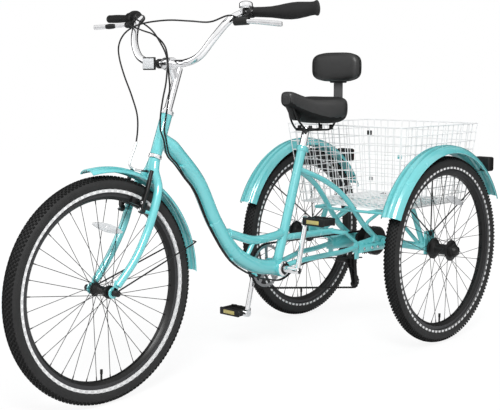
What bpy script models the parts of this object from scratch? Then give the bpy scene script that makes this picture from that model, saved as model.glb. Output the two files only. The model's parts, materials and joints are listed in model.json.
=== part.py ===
"""Adult tricycle with a single front wheel, a step-through frame and a wire basket over the rear axle.

Metres, +Z up. The tricycle faces -Y and its left side is +X. Places are first written with Y measured from the
middle of the wheelbase; one empty at the end moves the whole machine so that the origin lies on the floor under
the middle of its length.
"""
import math

import bmesh
import bpy
from mathutils import Matrix, Quaternion, Vector

# Fit
GAP = 0.0003                 # clearance between pieces that touch
RUN = 0.0006                 # running clearance round a turning piece

# Wheels
TYRE_WIDTH = 0.052
RIM_RADIUS = 0.2855
TYRE_HEIGHT = 0.0481         # tread above the rim
RIM_DEPTH = 0.022
RIM_WIDTH = 0.029
TYRE_RADIUS = RIM_RADIUS + TYRE_HEIGHT
WHEEL_SEGMENTS = 32
SPOKES = 36
SPOKE_RADIUS = 0.0010
SPOKE_CROSS = math.radians(40)
WHEELBASE = 1.279
TRACK = 0.645
FRONT_FLANGE_SPREAD = 0.031
FRONT_FLANGE_RADIUS = 0.024
REAR_FLANGE_SPREAD = 0.0355
REAR_FLANGE_RADIUS = 0.037
FLANGE_THICKNESS = 0.006
FRONT_AXLE_RADIUS = 0.005
REAR_AXLE_RADIUS = 0.0085

# Steering
HEAD_LEAN = math.atan(0.384)
FORK_CLEARANCE = 0.0843322   # foot of the headset above the tyre, along the steering axis
FORK_RAKE = 0.0617867        # front axle ahead of the steering axis
CUP_HEIGHT = 0.012
CUP_RADIUS = 0.0205
HEAD_TUBE_LENGTH = 0.125
HEAD_TUBE_RADIUS = 0.0175
STEERER_RADIUS = 0.0127
STEM_REACH = 0.0435
STEM_RISE = 0.134            # bar centre above the upper headset cup, along the steering axis
STEM_RADIUS = 0.0118
BAR_RADIUS = 0.0111
BAR_HALF_WIDTH = 0.450
GRIP_RADIUS = 0.0165
GRIP_LENGTH = 0.200
SHIFTER_LENGTH = 0.050
FORK_LEG_RADIUS = 0.0125
FORK_HALF_WIDTH = 0.056

# Frame
MAIN_TUBE_RADIUS = 0.0255
SECOND_TUBE_RADIUS = 0.0143
SEAT_TUBE_RADIUS = 0.0160
SEAT_POST_RADIUS = 0.0127
STAY_RADIUS = 0.0095
LOWER_STAY_RADIUS = 0.0090
CRANK_Y = 0.114
CRANK_Z = 0.298
SHELL_RADIUS = 0.0285
SHELL_HALF_WIDTH = 0.035
PLATE_X = 0.060
PLATE_THICKNESS = 0.005
SEAT_TOP_Y = 0.250
SEAT_TOP_Z = 0.703

# Drive
CRANK_LENGTH = 0.172
CRANK_LEAN = math.radians(15)
CRANK_ARM_X = 0.095
CRANK_ARM_RADIUS = 0.0085
CHAIN_X = -0.043
CHAINRING_TEETH = 38
COG_TEETH = 14
JOCKEY_TEETH = 11
CHAIN_PITCH = 0.0127
CHAIN_RADIUS = 0.0040
PEDAL_WIDTH = 0.088
PEDAL_LENGTH = 0.066
PEDAL_HEIGHT = 0.027
DRUM_RADIUS = 0.054

# Seat
SADDLE_LENGTH = 0.275
SADDLE_HALF_WIDTH = 0.118
SADDLE_NOSE_Y = 0.137
BACKREST_WIDTH = 0.205
BACKREST_HEIGHT = 0.100
BACKREST_DEPTH = 0.058

# Fenders and basket
FENDER_CLEARANCE = 0.0374    # ridge of a rear fender above the tread
FENDER_RADIUS = TYRE_RADIUS + FENDER_CLEARANCE
FENDER_WIDTH = 0.080
FENDER_SKIN = 0.0022
FENDER_DROP = 0.024
FENDER_STEPS = 14
REAR_FENDER_FROM = 27.0      # degrees above the rear, over the top to the front
REAR_FENDER_TO = 156.5
FRONT_FENDER_CLEARANCE = 0.0234
FRONT_FENDER_RADIUS = TYRE_RADIUS + FRONT_FENDER_CLEARANCE
FRONT_FENDER_WIDTH = 0.060
FRONT_FENDER_LIFT = Vector((0, 0.006, 0.0))
BASKET_HALF_WIDTH = 0.222
BASKET_AHEAD = 0.1335         # front edge of the floor ahead of the rear axle
BASKET_BEHIND = 0.3085        # rear edge behind it
BASKET_FLARE = 0.037          # rim outside the floor, at the sides and front
BASKET_REAR_FLARE = 0.023
BASKET_FRONT_Y = WHEELBASE / 2 - BASKET_AHEAD
BASKET_REAR_Y = WHEELBASE / 2 + BASKET_BEHIND
BASKET_FLOOR_Z = 0.4725
BASKET_HEIGHT = 0.298
BASKET_PITCH = 0.090
BASKET_WIRE = 0.0045
RAIL_RADIUS = 0.0075
CABLE_RADIUS = 0.0025

# Worked out from the driving sizes
AXLE_Z = 0.3319936           # axle line in the tricycle's own coordinates
FLOOR_Z = AXLE_Z - TYRE_RADIUS * math.cos(math.pi / WHEEL_SEGMENTS)
FRONT_AXLE = Vector((0, -WHEELBASE / 2, AXLE_Z))
REAR_AXLE = Vector((0, WHEELBASE / 2, AXLE_Z))
FRONT_END = WHEELBASE / 2 + AXLE_Z - FLOOR_Z
REAR_END = max(BASKET_REAR_Y + BASKET_REAR_FLARE, FRONT_END, WHEELBASE / 2 + FENDER_RADIUS * math.cos(math.radians(REAR_FENDER_FROM)))
MIDDLE_Y = (REAR_END - FRONT_END) / 2
STEER_UP = Vector((0, math.sin(HEAD_LEAN), math.cos(HEAD_LEAN)))
STEER_FORWARD = Vector((0, -math.cos(HEAD_LEAN), math.sin(HEAD_LEAN)))
STEER_FOOT = FRONT_AXLE + STEER_UP * (TYRE_RADIUS + FORK_CLEARANCE) - STEER_FORWARD * FORK_RAKE
CRANK_CENTRE = Vector((0, CRANK_Y, CRANK_Z))
CHAINRING_RADIUS = CHAINRING_TEETH * CHAIN_PITCH / math.tau
COG_RADIUS = COG_TEETH * CHAIN_PITCH / math.tau
JOCKEY_RADIUS = JOCKEY_TEETH * CHAIN_PITCH / math.tau
HEAD_TOP = 2 * CUP_HEIGHT + HEAD_TUBE_LENGTH + 2 * GAP
BAR_HEIGHT = HEAD_TOP + STEM_RISE
SEAT_TOP = Vector((0, SEAT_TOP_Y, SEAT_TOP_Z))
SEAT_UP = (SEAT_TOP - CRANK_CENTRE).normalized()
DRAWN_HEAD = Vector((0, -0.432, 0.700))    # foot of the headset and rear axle at which the frame's tubes are drawn
DRAWN_AXLE_Y = 0.6395
PLATE_FRONT_Y = 0.385
HEAD_SHIFT = STEER_FOOT - DRAWN_HEAD
REAR_SHIFT = REAR_AXLE.y - DRAWN_AXLE_Y


def placed(x, y, z):
    """A drawn frame point, moved with the head tube ahead of the crank and with the axle behind the seat tube."""
    point = Vector((x, y, z))
    if y < CRANK_Y:
        return point + HEAD_SHIFT * min(1, (CRANK_Y - y) / (CRANK_Y - DRAWN_HEAD.y))
    if y > SEAT_TOP_Y:
        point.y += REAR_SHIFT * min(1, (y - SEAT_TOP_Y) / (PLATE_FRONT_Y - SEAT_TOP_Y))
    return point


def on_steering(up, forward=0.0, side=0.0):
    """A point by its height along the steering axis, its reach ahead of the axis and its side offset."""
    return STEER_FOOT + STEER_UP * up + STEER_FORWARD * forward + Vector((side, 0, 0))


def material(name, colour, roughness, metallic=0.0):
    made = bpy.data.materials.new(name)
    made.use_nodes = True
    shader = made.node_tree.nodes["Principled BSDF"]
    shader.inputs["Base Color"].default_value = (*colour, 1)
    shader.inputs["Roughness"].default_value = roughness
    shader.inputs["Metallic"].default_value = metallic
    return made


def new_object(name, mesh):
    made = bpy.data.objects.new(name, mesh)
    bpy.context.scene.collection.objects.link(made)
    return made


def from_bmesh(bm, name="piece"):
    bmesh.ops.remove_doubles(bm, verts=bm.verts, dist=1e-6)
    bmesh.ops.recalc_face_normals(bm, faces=bm.faces)
    mesh = bpy.data.meshes.new(name)
    bm.to_mesh(mesh)
    bm.free()
    return new_object(name, mesh)


def lathe(profile, origin, direction, segments=16, phase=0.0):
    """Turns (radius, height) points round a line through origin; a profile off the axis is a closed ring."""
    bm = bmesh.new()
    points = [bm.verts.new((radius, 0, height)) for radius, height in profile]
    edges = [bm.edges.new(pair) for pair in zip(points, points[1:])]
    if profile[0][0] > 0:
        edges.append(bm.edges.new((points[-1], points[0])))
    bmesh.ops.rotate(bm, verts=points, cent=(0, 0, 0), matrix=Matrix.Rotation(phase, 3, "Z"))
    bmesh.ops.spin(bm, geom=points + edges, cent=(0, 0, 0), axis=(0, 0, 1), angle=math.tau,
                   steps=segments, use_merge=True, use_duplicate=False)
    turn = Vector((0, 0, 1)).rotation_difference(Vector(direction))
    bmesh.ops.transform(bm, verts=bm.verts, matrix=Matrix.Translation(origin) @ turn.to_matrix().to_4x4())
    return from_bmesh(bm)


def rod(start, end, radius, segments=12):
    """A solid round bar between two points."""
    start, end = Vector(start), Vector(end)
    length = (end - start).length
    return lathe([(0, 0), (radius, 0), (radius, length), (0, length)], start, end - start, segments)


def smooth_path(points, steps=4):
    """A Catmull-Rom curve through the points."""
    points = [Vector(point) for point in points]
    ends = [points[0] * 2 - points[1]] + points + [points[-1] * 2 - points[-2]]
    path = []
    for a, b, c, d in zip(ends, ends[1:], ends[2:], ends[3:]):
        for step in range(steps):
            t = step / steps
            path.append(0.5 * (2 * b + (c - a) * t + (2 * a - 5 * b + 4 * c - d) * t * t
                               + (3 * b - a - 3 * c + d) * t ** 3))
    return path + [points[-1]]


def tube(path, radius, resolution=4, cyclic=False):
    """A round tube along a path, made from a bevelled curve."""
    curve = bpy.data.curves.new("path", "CURVE")
    curve.dimensions = "3D"
    curve.bevel_depth = radius
    curve.bevel_resolution = resolution
    curve.use_fill_caps = True
    spline = curve.splines.new("POLY")
    spline.points.add(len(path) - 1)
    for point, place in zip(spline.points, path):
        point.co = (*place, 1)
    spline.use_cyclic_u = cyclic
    guide = new_object("path", curve)
    mesh = bpy.data.meshes.new_from_object(guide.evaluated_get(bpy.context.evaluated_depsgraph_get()))
    bpy.data.objects.remove(guide)
    bm = bmesh.new()
    bm.from_mesh(mesh)
    bpy.data.meshes.remove(mesh)
    return from_bmesh(bm)


def block(size, centre, turn=Quaternion(), bevel=0.0):
    """A box of a size about a centre, with its edges eased where a bevel is given."""
    bm = bmesh.new()
    place = Matrix.Translation(centre) @ turn.to_matrix().to_4x4() @ Matrix.Diagonal((*size, 1))
    bmesh.ops.create_cube(bm, size=1, matrix=place)
    if bevel:
        bmesh.ops.bevel(bm, geom=bm.edges[:], offset=bevel, segments=1, profile=0.5, affect="EDGES", material=-1)
    return from_bmesh(bm)


def plate(outline, thickness, middle_x):
    """A flat plate, from an outline of (y, z) points, standing across the X axis."""
    bm = bmesh.new()
    face = bm.faces.new([bm.verts.new((middle_x - thickness / 2, y, z)) for y, z in outline])
    grown = bmesh.ops.extrude_face_region(bm, geom=[face])
    moved = [item for item in grown["geom"] if isinstance(item, bmesh.types.BMVert)]
    bmesh.ops.translate(bm, verts=moved, vec=(thickness, 0, 0))
    return from_bmesh(bm)


def loft(rings):
    """Joins rings of equal count into one closed skin."""
    bm = bmesh.new()
    rows = [[bm.verts.new(point) for point in ring] for ring in rings]
    for row, following in zip(rows, rows[1:]):
        for a, b, c, d in zip(row, row[1:] + row[:1], following[1:] + following[:1], following):
            bm.faces.new((a, b, c, d))
    bm.faces.new(rows[0])
    bm.faces.new(rows[-1])
    return from_bmesh(bm)


def is_closed(mesh):
    bm = bmesh.new()
    bm.from_mesh(mesh)
    closed = all(edge.is_manifold for edge in bm.edges)
    bm.free()
    return closed


def combine(first, others, operation="UNION"):
    """Joins the others to the first, or cuts them from it, and keeps the result in the first."""
    for other in others:
        step = first.modifiers.new("step", "BOOLEAN")
        step.operation = operation
        step.object = other
        for solver in ("EXACT", "MANIFOLD"):
            step.solver = solver
            mesh = bpy.data.meshes.new_from_object(first.evaluated_get(bpy.context.evaluated_depsgraph_get()))
            if is_closed(mesh):
                break
        first.modifiers.clear()
        old = first.data
        first.data = mesh
        bpy.data.meshes.remove(old)
        bpy.data.objects.remove(other)
    return first


def finish(piece, name, coat, carrier, smooth=True):
    """Names a piece, gives it its finish and hangs it on the empty that carries it."""
    piece.name = name
    piece.data.name = name
    piece.data.materials.clear()
    piece.data.materials.append(coat)
    if smooth:
        piece.data.shade_smooth()
        piece.data.set_sharp_from_angle(angle=math.radians(40))
    piece.parent = carrier
    piece.matrix_parent_inverse = Matrix.Translation(-PLACES[carrier.name])
    return piece


PLACES = {}


def carrier(name, place, parent=None):
    """An empty on a joint's axis; the places stay in the tricycle's own coordinates."""
    made = bpy.data.objects.new(name, None)
    bpy.context.scene.collection.objects.link(made)
    PLACES[name] = Vector(place)
    made.parent = parent
    made.location = PLACES[name] - (PLACES[parent.name] if parent else Vector())
    return made


for leftover in list(bpy.data.objects):
    bpy.data.objects.remove(leftover)

TEAL = material("teal_paint", (0.17, 0.66, 0.66), 0.3)
BLACK = material("black_paint", (0.012, 0.012, 0.013), 0.4)
RUBBER = material("black_rubber", (0.018, 0.018, 0.018), 0.75)
VINYL = material("black_vinyl", (0.03, 0.03, 0.03), 0.5)
CHROME = material("chrome", (0.75, 0.75, 0.76), 0.12, 1.0)
STEEL = material("grey_steel", (0.35, 0.35, 0.35), 0.4, 1.0)
WHITE = material("white_wire", (0.85, 0.85, 0.85), 0.35)
CLEAR = material("reflector_lens", (0.8, 0.8, 0.8), 0.2)

# Joint axes
frame_empty = carrier("frame_carrier", (0, 0, 0))
steer_empty = carrier("steering_axis", STEER_FOOT, frame_empty)
front_empty = carrier("front_axle_axis", FRONT_AXLE, steer_empty)
left_empty = carrier("left_wheel_axis", REAR_AXLE + Vector((TRACK / 2, 0, 0)), frame_empty)
drive_empty = carrier("drive_axle_axis", REAR_AXLE, frame_empty)
freewheel_empty = carrier("freewheel_axis", REAR_AXLE, frame_empty)
crank_empty = carrier("crank_axis", CRANK_CENTRE, frame_empty)
CRANK_UP = Vector((0, math.sin(CRANK_LEAN), math.cos(CRANK_LEAN)))
LEFT_PEDAL_AXIS = CRANK_CENTRE + CRANK_UP * CRANK_LENGTH
RIGHT_PEDAL_AXIS = CRANK_CENTRE - CRANK_UP * CRANK_LENGTH
left_pedal_empty = carrier("left_pedal_axis", LEFT_PEDAL_AXIS, crank_empty)
right_pedal_empty = carrier("right_pedal_axis", RIGHT_PEDAL_AXIS, crank_empty)
seat_empty = carrier("seat_slide", SEAT_TOP, frame_empty)

# Wheels


def tyre(centre):
    """A round-shouldered tyre with a flat tread facet at its lowest point."""
    half = TYRE_WIDTH / 2
    foot = RIM_RADIUS + GAP
    height = TYRE_RADIUS - foot
    side = [(foot, RIM_WIDTH * 0.40), (foot + height * 0.36, half * 0.96), (foot + height * 0.78, half * 0.90),
            (TYRE_RADIUS, half * 0.40)]
    profile = side + [(radius, -x) for radius, x in reversed(side)]
    return lathe(profile, centre, (1, 0, 0), WHEEL_SEGMENTS, math.pi / WHEEL_SEGMENTS)


def spoke_set(flange_spread, flange_radius):
    """Crossed spokes about the origin with the axle along X, each a thin bar from a flange into the rim."""
    bm = bmesh.new()
    for index in range(SPOKES):
        side = 1 if index % 2 else -1
        lead = 1 if index % 4 < 2 else -1
        at_rim = math.tau * (index + 0.5) / SPOKES
        at_hub = at_rim + lead * SPOKE_CROSS
        hub_radius = flange_radius - FLANGE_THICKNESS
        rim_radius = RIM_RADIUS - RIM_DEPTH * 0.8
        start = Vector((side * flange_spread + lead * FLANGE_THICKNESS * 0.25,
                        hub_radius * math.cos(at_hub), hub_radius * math.sin(at_hub)))
        end = Vector((side * RIM_WIDTH * 0.1 + lead * SPOKE_RADIUS * 1.6,
                      rim_radius * math.cos(at_rim), rim_radius * math.sin(at_rim)))
        along = end - start
        turn = Vector((0, 0, 1)).rotation_difference(along).to_matrix().to_4x4()
        bmesh.ops.create_cone(bm, cap_ends=True, segments=3, radius1=SPOKE_RADIUS, radius2=SPOKE_RADIUS,
                              depth=along.length, matrix=Matrix.Translation((start + end) / 2) @ turn)
    return from_bmesh(bm)


def laced_wheel(centre, flange_spread, flange_radius, barrel_radius, bore_radius, hub_half_length, cap_radius):
    """Rim, crossed spokes and flanged hub as one laced wheel."""
    inner = RIM_RADIUS - RIM_DEPTH
    half = RIM_WIDTH / 2
    rim = lathe([(RIM_RADIUS, -half), (RIM_RADIUS, half), (RIM_RADIUS - RIM_DEPTH * 0.6, half),
                 (inner, half * 0.55), (inner, -half * 0.55), (RIM_RADIUS - RIM_DEPTH * 0.6, -half)],
                (0, 0, 0), (1, 0, 0), WHEEL_SEGMENTS, math.pi / WHEEL_SEGMENTS)
    flange = FLANGE_THICKNESS / 2
    near, far = flange_spread - flange, flange_spread + flange
    outer = [(bore_radius, -hub_half_length), (cap_radius, -hub_half_length), (cap_radius * 1.1, -far),
             (flange_radius, -far), (flange_radius, -near), (barrel_radius, -near), (barrel_radius, near),
             (flange_radius, near), (flange_radius, far), (cap_radius * 1.1, far),
             (cap_radius, hub_half_length), (bore_radius, hub_half_length)]
    hub = lathe(outer, (0, 0, 0), (1, 0, 0), 12)
    wheel = combine(spoke_set(flange_spread, flange_radius), [hub, rim])
    wheel.data.transform(Matrix.Translation(centre))
    return wheel


FRONT_HUB_HALF = 0.046
REAR_HUB_HALF = 0.052
LEFT_WHEEL_CENTRE = REAR_AXLE + Vector((TRACK / 2, 0, 0))
RIGHT_WHEEL_CENTRE = REAR_AXLE - Vector((TRACK / 2, 0, 0))
finish(tyre(FRONT_AXLE), "front_tyre", RUBBER, front_empty)
finish(laced_wheel(FRONT_AXLE, FRONT_FLANGE_SPREAD, FRONT_FLANGE_RADIUS, 0.014, FRONT_AXLE_RADIUS + RUN,
                   FRONT_HUB_HALF, 0.011), "front_wheel", BLACK, front_empty)
finish(tyre(LEFT_WHEEL_CENTRE), "left_tyre", RUBBER, left_empty)
finish(tyre(RIGHT_WHEEL_CENTRE), "right_tyre", RUBBER, drive_empty)
for name, centre, holder in (("left_wheel", LEFT_WHEEL_CENTRE, left_empty),
                             ("right_wheel", RIGHT_WHEEL_CENTRE, drive_empty)):
    finish(laced_wheel(centre, REAR_FLANGE_SPREAD, REAR_FLANGE_RADIUS, 0.019, REAR_AXLE_RADIUS + RUN,
                       REAR_HUB_HALF, 0.024), name, BLACK, holder)

# Fork and headset

LEG_TOP = -0.012
DROPOUT_X = FRONT_HUB_HALF + RUN + PLATE_THICKNESS / 2


def fork_leg(side):
    """One blade: out of the crown, down along the steering axis, then swept forward to the axle."""
    to_axle = FRONT_AXLE - STEER_FOOT
    axle_up, axle_forward = to_axle.dot(STEER_UP), to_axle.dot(STEER_FORWARD)
    route = [on_steering(LEG_TOP, 0, side * 0.010), on_steering(LEG_TOP - 0.026, 0, side * 0.040),
             on_steering(LEG_TOP - 0.066, 0, side * FORK_HALF_WIDTH),
             on_steering(axle_up * 0.34, 0, side * FORK_HALF_WIDTH),
             on_steering(axle_up * 0.52, axle_forward * 0.04, side * FORK_HALF_WIDTH),
             on_steering(axle_up * 0.74, axle_forward * 0.34, side * FORK_HALF_WIDTH),
             on_steering(axle_up + 0.022, axle_forward * 0.88, side * (DROPOUT_X + 0.002))]
    return tube(smooth_path(route, 2), FORK_LEG_RADIUS, 2)


def dropout(side):
    """A flat eye at the foot of a blade, bored for the axle."""
    centre = FRONT_AXLE + Vector((side * DROPOUT_X, 0, 0))
    half = PLATE_THICKNESS / 2
    eye = lathe([(FRONT_AXLE_RADIUS + GAP, -half), (0.0165, -half), (0.0165, half), (FRONT_AXLE_RADIUS + GAP, half)],
                centre, (1, 0, 0), 16)
    tang_centre = centre + STEER_UP * 0.022 - STEER_FORWARD * 0.004
    lean = Vector((0, 0, 1)).rotation_difference(STEER_UP)
    return combine(eye, [block((PLATE_THICKNESS, 0.018, 0.028), tang_centre, lean)])


PAD_INSET = 0.0116510        # middle of a brake pad inside the rim's edge
PAD_RISE = 0.0207             # pad above the brake pivot
PAD_FORWARD = 0.036           # pad ahead of the steering axis
BRAKE_UP = (math.sqrt((RIM_RADIUS - PAD_INSET) ** 2 - (FORK_RAKE - PAD_FORWARD) ** 2)
            - TYRE_RADIUS - FORK_CLEARANCE - PAD_RISE)
BRAKE_REACH = 0.0525
BOSS_X = 0.046
BOSS_RADIUS = 0.0055
crown = rod(on_steering(LEG_TOP - 0.018), on_steering(-GAP), HEAD_TUBE_RADIUS, 16)
steerer = rod(on_steering(-0.006), on_steering(HEAD_TOP), STEERER_RADIUS, 16)
bosses = [rod(on_steering(BRAKE_UP, 0.0, side * BOSS_X), on_steering(BRAKE_UP, BRAKE_REACH - 0.010, side * BOSS_X),
              BOSS_RADIUS, 8) for side in (1, -1)]
fender_middle = FRONT_AXLE + FRONT_FENDER_LIFT
fender_out = (on_steering(LEG_TOP - 0.018) - fender_middle).normalized()
fender_hanger = rod(on_steering(LEG_TOP - 0.008), fender_middle + fender_out * (FRONT_FENDER_RADIUS - GAP), 0.006, 10)
fork = combine(crown, [steerer, fender_hanger, fork_leg(1), fork_leg(-1), dropout(1), dropout(-1)] + bosses)
finish(fork, "fork", TEAL, steer_empty)
for name, foot in (("headset_lower", 0.0), ("headset_upper", CUP_HEIGHT + HEAD_TUBE_LENGTH + 2 * GAP)):
    low, high = foot, foot + CUP_HEIGHT
    bore = STEERER_RADIUS + RUN
    cup = lathe([(bore, low), (CUP_RADIUS * 0.92, low), (CUP_RADIUS, (low + high) / 2),
                 (CUP_RADIUS * 0.92, high), (bore, high)], STEER_FOOT, STEER_UP, 16)
    finish(cup, name, CHROME, frame_empty)

AXLE_NUT_OUT = DROPOUT_X + PLATE_THICKNESS / 2 + GAP
half_axle = [(0, -AXLE_NUT_OUT - 0.024), (0.009, -AXLE_NUT_OUT - 0.020), (0.010, -AXLE_NUT_OUT),
             (FRONT_AXLE_RADIUS, -AXLE_NUT_OUT)]
front_axle = lathe(half_axle + [(radius, -x) for radius, x in reversed(half_axle)], FRONT_AXLE, (1, 0, 0), 12)
finish(front_axle, "front_axle", BLACK, steer_empty)

# Stem and handlebar

BAR_CENTRE = on_steering(BAR_HEIGHT, STEM_REACH)
CLAMP_RADIUS = 0.018
CLAMP_HALF = 0.020
quill = rod(on_steering(HEAD_TOP + GAP), on_steering(BAR_HEIGHT + 0.004), STEM_RADIUS, 16)
arm = rod(on_steering(BAR_HEIGHT - 0.010, -0.002), BAR_CENTRE, STEM_RADIUS * 0.88, 14)
collar = rod(BAR_CENTRE - Vector((CLAMP_HALF, 0, 0)), BAR_CENTRE + Vector((CLAMP_HALF, 0, 0)), CLAMP_RADIUS, 20)
clamp_bore = rod(BAR_CENTRE - Vector((CLAMP_HALF * 2, 0, 0)), BAR_CENTRE + Vector((CLAMP_HALF * 2, 0, 0)),
                 BAR_RADIUS + GAP, 16)
stem = combine(combine(quill, [arm, collar]), [clamp_bore], "DIFFERENCE")
finish(stem, "stem", CHROME, steer_empty)

BAR_OUT = Vector((0.195, 0.0505, 0.0065)).normalized()
BAR_END = BAR_CENTRE + Vector((BAR_HALF_WIDTH, 0.1475, 0.152))
GRIP_IN = BAR_END - BAR_OUT * GRIP_LENGTH
BAR_STRAIGHT_IN = GRIP_IN - BAR_OUT * 0.040
BAR_FLAT = 0.060              # straight middle of the bar, to each side
BEND_FOOT = BAR_HALF_WIDTH - 0.310
BAR_BENDS = [Vector((BAR_FLAT, 0, 0)), Vector((BAR_FLAT + (BEND_FOOT - BAR_FLAT) * 0.5625, -0.002, 0.009)),
             Vector((BEND_FOOT, 0.001, 0.028)), Vector((BAR_HALF_WIDTH - 0.278, 0.015, 0.070)),
             Vector((BAR_HALF_WIDTH - 0.250, 0.048, 0.120))]


def mirrored(point, side):
    return Vector((point.x * side, point.y, point.z))


left_half = smooth_path([BAR_CENTRE + bend for bend in BAR_BENDS] + [BAR_STRAIGHT_IN], 2)
left_half.append(BAR_END - BAR_OUT * 0.003)
bar_path = [mirrored(point, -1) for point in reversed(left_half)] + left_half
finish(tube(bar_path, BAR_RADIUS, 3), "handlebar", CHROME, steer_empty)


def grip(side, start, length):
    """A rubber grip, waisted at both ends and flared at its outer one."""
    along = mirrored(BAR_OUT, side)
    origin = mirrored(GRIP_IN, side) + along * start
    bore = BAR_RADIUS + GAP
    wall = [(GRIP_RADIUS * 0.92, 0), (GRIP_RADIUS, length * 0.12), (GRIP_RADIUS * 1.08, length * 0.5),
            (GRIP_RADIUS * 0.95, length * 0.86), (GRIP_RADIUS * 1.30, length)]
    return lathe([(bore, 0)] + wall + [(bore, length)], origin, along, 14)


finish(grip(1, 0, GRIP_LENGTH), "grip_left", RUBBER, steer_empty)
finish(grip(-1, SHIFTER_LENGTH + GAP, GRIP_LENGTH - SHIFTER_LENGTH - GAP), "grip_right", RUBBER, steer_empty)
SHIFTER_AXIS = mirrored(BAR_OUT, -1)
SHIFTER_FOOT = mirrored(GRIP_IN, -1)
shifter_empty = carrier("shifter_axis", SHIFTER_FOOT, steer_empty)
shifter_bore = BAR_RADIUS + RUN
shifter_wall = [(shifter_bore, 0), (0.0245, 0.003), (0.0250, 0.016), (0.0195, 0.024),
                (GRIP_RADIUS * 1.12, SHIFTER_LENGTH), (shifter_bore, SHIFTER_LENGTH)]
finish(lathe(shifter_wall, SHIFTER_FOOT, SHIFTER_AXIS, 16), "twist_shifter", BLACK, shifter_empty)

# Brake levers and bell

LEVER_STATION = -0.010        # lever collar, along the bar from the inner end of the grip
LEVER_DROP = Vector((0, -0.038, -0.022))
LEVER_LENGTH = 0.115
COLLAR_WIDTH = 0.016
PIVOT_RADIUS = 0.006
BARREL_REACH = 0.018
BARREL_IN = 0.0125


def lever_set(side, suffix, bows):
    """The collar and housing clamped on the bar, and the blade that pivots in front of it."""
    along = mirrored(BAR_OUT, side)
    centre = mirrored(GRIP_IN, side) + along * LEVER_STATION
    pivot = centre + LEVER_DROP
    ring = lathe([(BAR_RADIUS + GAP, -COLLAR_WIDTH / 2), (0.0165, -COLLAR_WIDTH / 2), (0.0165, COLLAR_WIDTH / 2),
                  (BAR_RADIUS + GAP, COLLAR_WIDTH / 2)], centre, along, 16)
    outward = LEVER_DROP.normalized()
    neck = rod(centre + outward * 0.0145, pivot - outward * (PIVOT_RADIUS + RUN), 0.007, 10)
    barrel = rod(pivot - along * BARREL_REACH - outward * BARREL_IN, pivot - outward * BARREL_IN, 0.0055, 10)
    body = combine(ring, [neck, barrel])
    pivot_empty = carrier("lever_axis_" + suffix, pivot, steer_empty)
    finish(body, "lever_body_" + suffix, BLACK, steer_empty)
    axis = along.cross(-outward)
    boss = rod(pivot - axis * 0.005, pivot + axis * 0.005, PIVOT_RADIUS, 12)
    route = [pivot + along * 0.003] + [pivot + along * reach + bow for reach, bow in bows]
    finish(combine(boss, [tube(smooth_path(route, 3), 0.0048, 2)]), "brake_lever_" + suffix, CHROME, pivot_empty)


LEVER_FRONT = LEVER_DROP.normalized()
lever_set(1, "left", [(0.025, LEVER_FRONT * 0.009), (0.070, LEVER_FRONT * 0.011), (LEVER_LENGTH, LEVER_FRONT * 0.016)])
lever_set(-1, "right", [(0.030, Vector((0, -0.012, -0.002))), (0.075, Vector((0, -0.042, -0.006))),
                        (LEVER_LENGTH + 0.010, Vector((0, -0.075, -0.010)))])

BELL_STATION = -0.027
BELL_RADIUS = 0.022
bell_foot = GRIP_IN + BAR_OUT * BELL_STATION
bell_strap = lathe([(BAR_RADIUS + 0.0012, -0.005), (0.0150, -0.005), (0.0150, 0.005), (BAR_RADIUS + 0.0012, 0.005)],
                   bell_foot + Vector((0, 0.0005, 0)), BAR_OUT, 16)
bell_neck = rod(bell_foot + Vector((0, 0, 0.0135)), bell_foot + Vector((0, 0, 0.022)), 0.006, 10)
bell_dome = lathe([(0, 0.020), (BELL_RADIUS * 0.95, 0.020), (BELL_RADIUS, 0.026), (BELL_RADIUS * 0.86, 0.036),
                   (0, 0.042)], bell_foot, (0, 0, 1), 16)
finish(combine(bell_strap, [bell_neck, bell_dome]), "bell", CHROME, steer_empty)
STRIKER_PIVOT = bell_foot + Vector((0, 0.0196, 0.006))
striker_empty = carrier("striker_axis", STRIKER_PIVOT, steer_empty)
striker = combine(rod(STRIKER_PIVOT - Vector((0, 0, 0.002)), STRIKER_PIVOT + Vector((0, 0, 0.002)), 0.004, 8),
                  [block((0.006, 0.020, 0.003), STRIKER_PIVOT + Vector((0, 0.011, 0)))])
finish(striker, "bell_striker", BLACK, striker_empty)

REFLECTOR_SIZE = Vector((0.054, 0.010, 0.038))
REFLECTOR_X = -0.040
clip_centre = BAR_CENTRE + Vector((REFLECTOR_X, 0, 0))
clip = lathe([(BAR_RADIUS + GAP, -0.006), (0.0145, -0.006), (0.0145, 0.006), (BAR_RADIUS + GAP, 0.006)],
             clip_centre, (1, 0, 0), 16)
bracket = rod(clip_centre + Vector((0, -0.013, 0)), clip_centre + Vector((0, -0.042, 0)), 0.006, 8)
lens = block(REFLECTOR_SIZE, clip_centre + Vector((0, -0.045, 0)), bevel=0.002)
finish(combine(clip, [bracket, lens]), "front_reflector", CLEAR, steer_empty)

# Rim brake

PAD_GAP = 0.0018
BRAKE_ARM_LENGTH = 0.117


def brake_arm(side):
    """A brake arm on its boss, with the pad that closes on the rim."""
    def at(up, forward, x):
        return on_steering(BRAKE_UP + up, BRAKE_REACH + forward, side * x)
    ring = lathe([(BOSS_RADIUS + RUN, 0), (0.0105, 0), (0.0105, 0.012), (BOSS_RADIUS + RUN, 0.012)],
                 at(0, -0.0225, BOSS_X), STEER_FORWARD, 12)
    bar = tube(smooth_path([at(0.007, -0.0165, BOSS_X), at(0.050, -0.0165, BOSS_X - 0.001),
                            at(BRAKE_ARM_LENGTH, -0.0165, BOSS_X - 0.003)], 2), 0.0050, 2)
    pad_in = RIM_WIDTH / 2 + PAD_GAP
    pad = block((0.010, 0.046, 0.012), at(PAD_RISE, -0.0165, pad_in + 0.005),
                Quaternion((1, 0, 0), -HEAD_LEAN), 0.001)
    post = rod(at(PAD_RISE, -0.0165, pad_in + 0.008), at(PAD_RISE, -0.0165, BOSS_X), 0.0035, 8)
    return combine(ring, [bar, post, pad])


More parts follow.
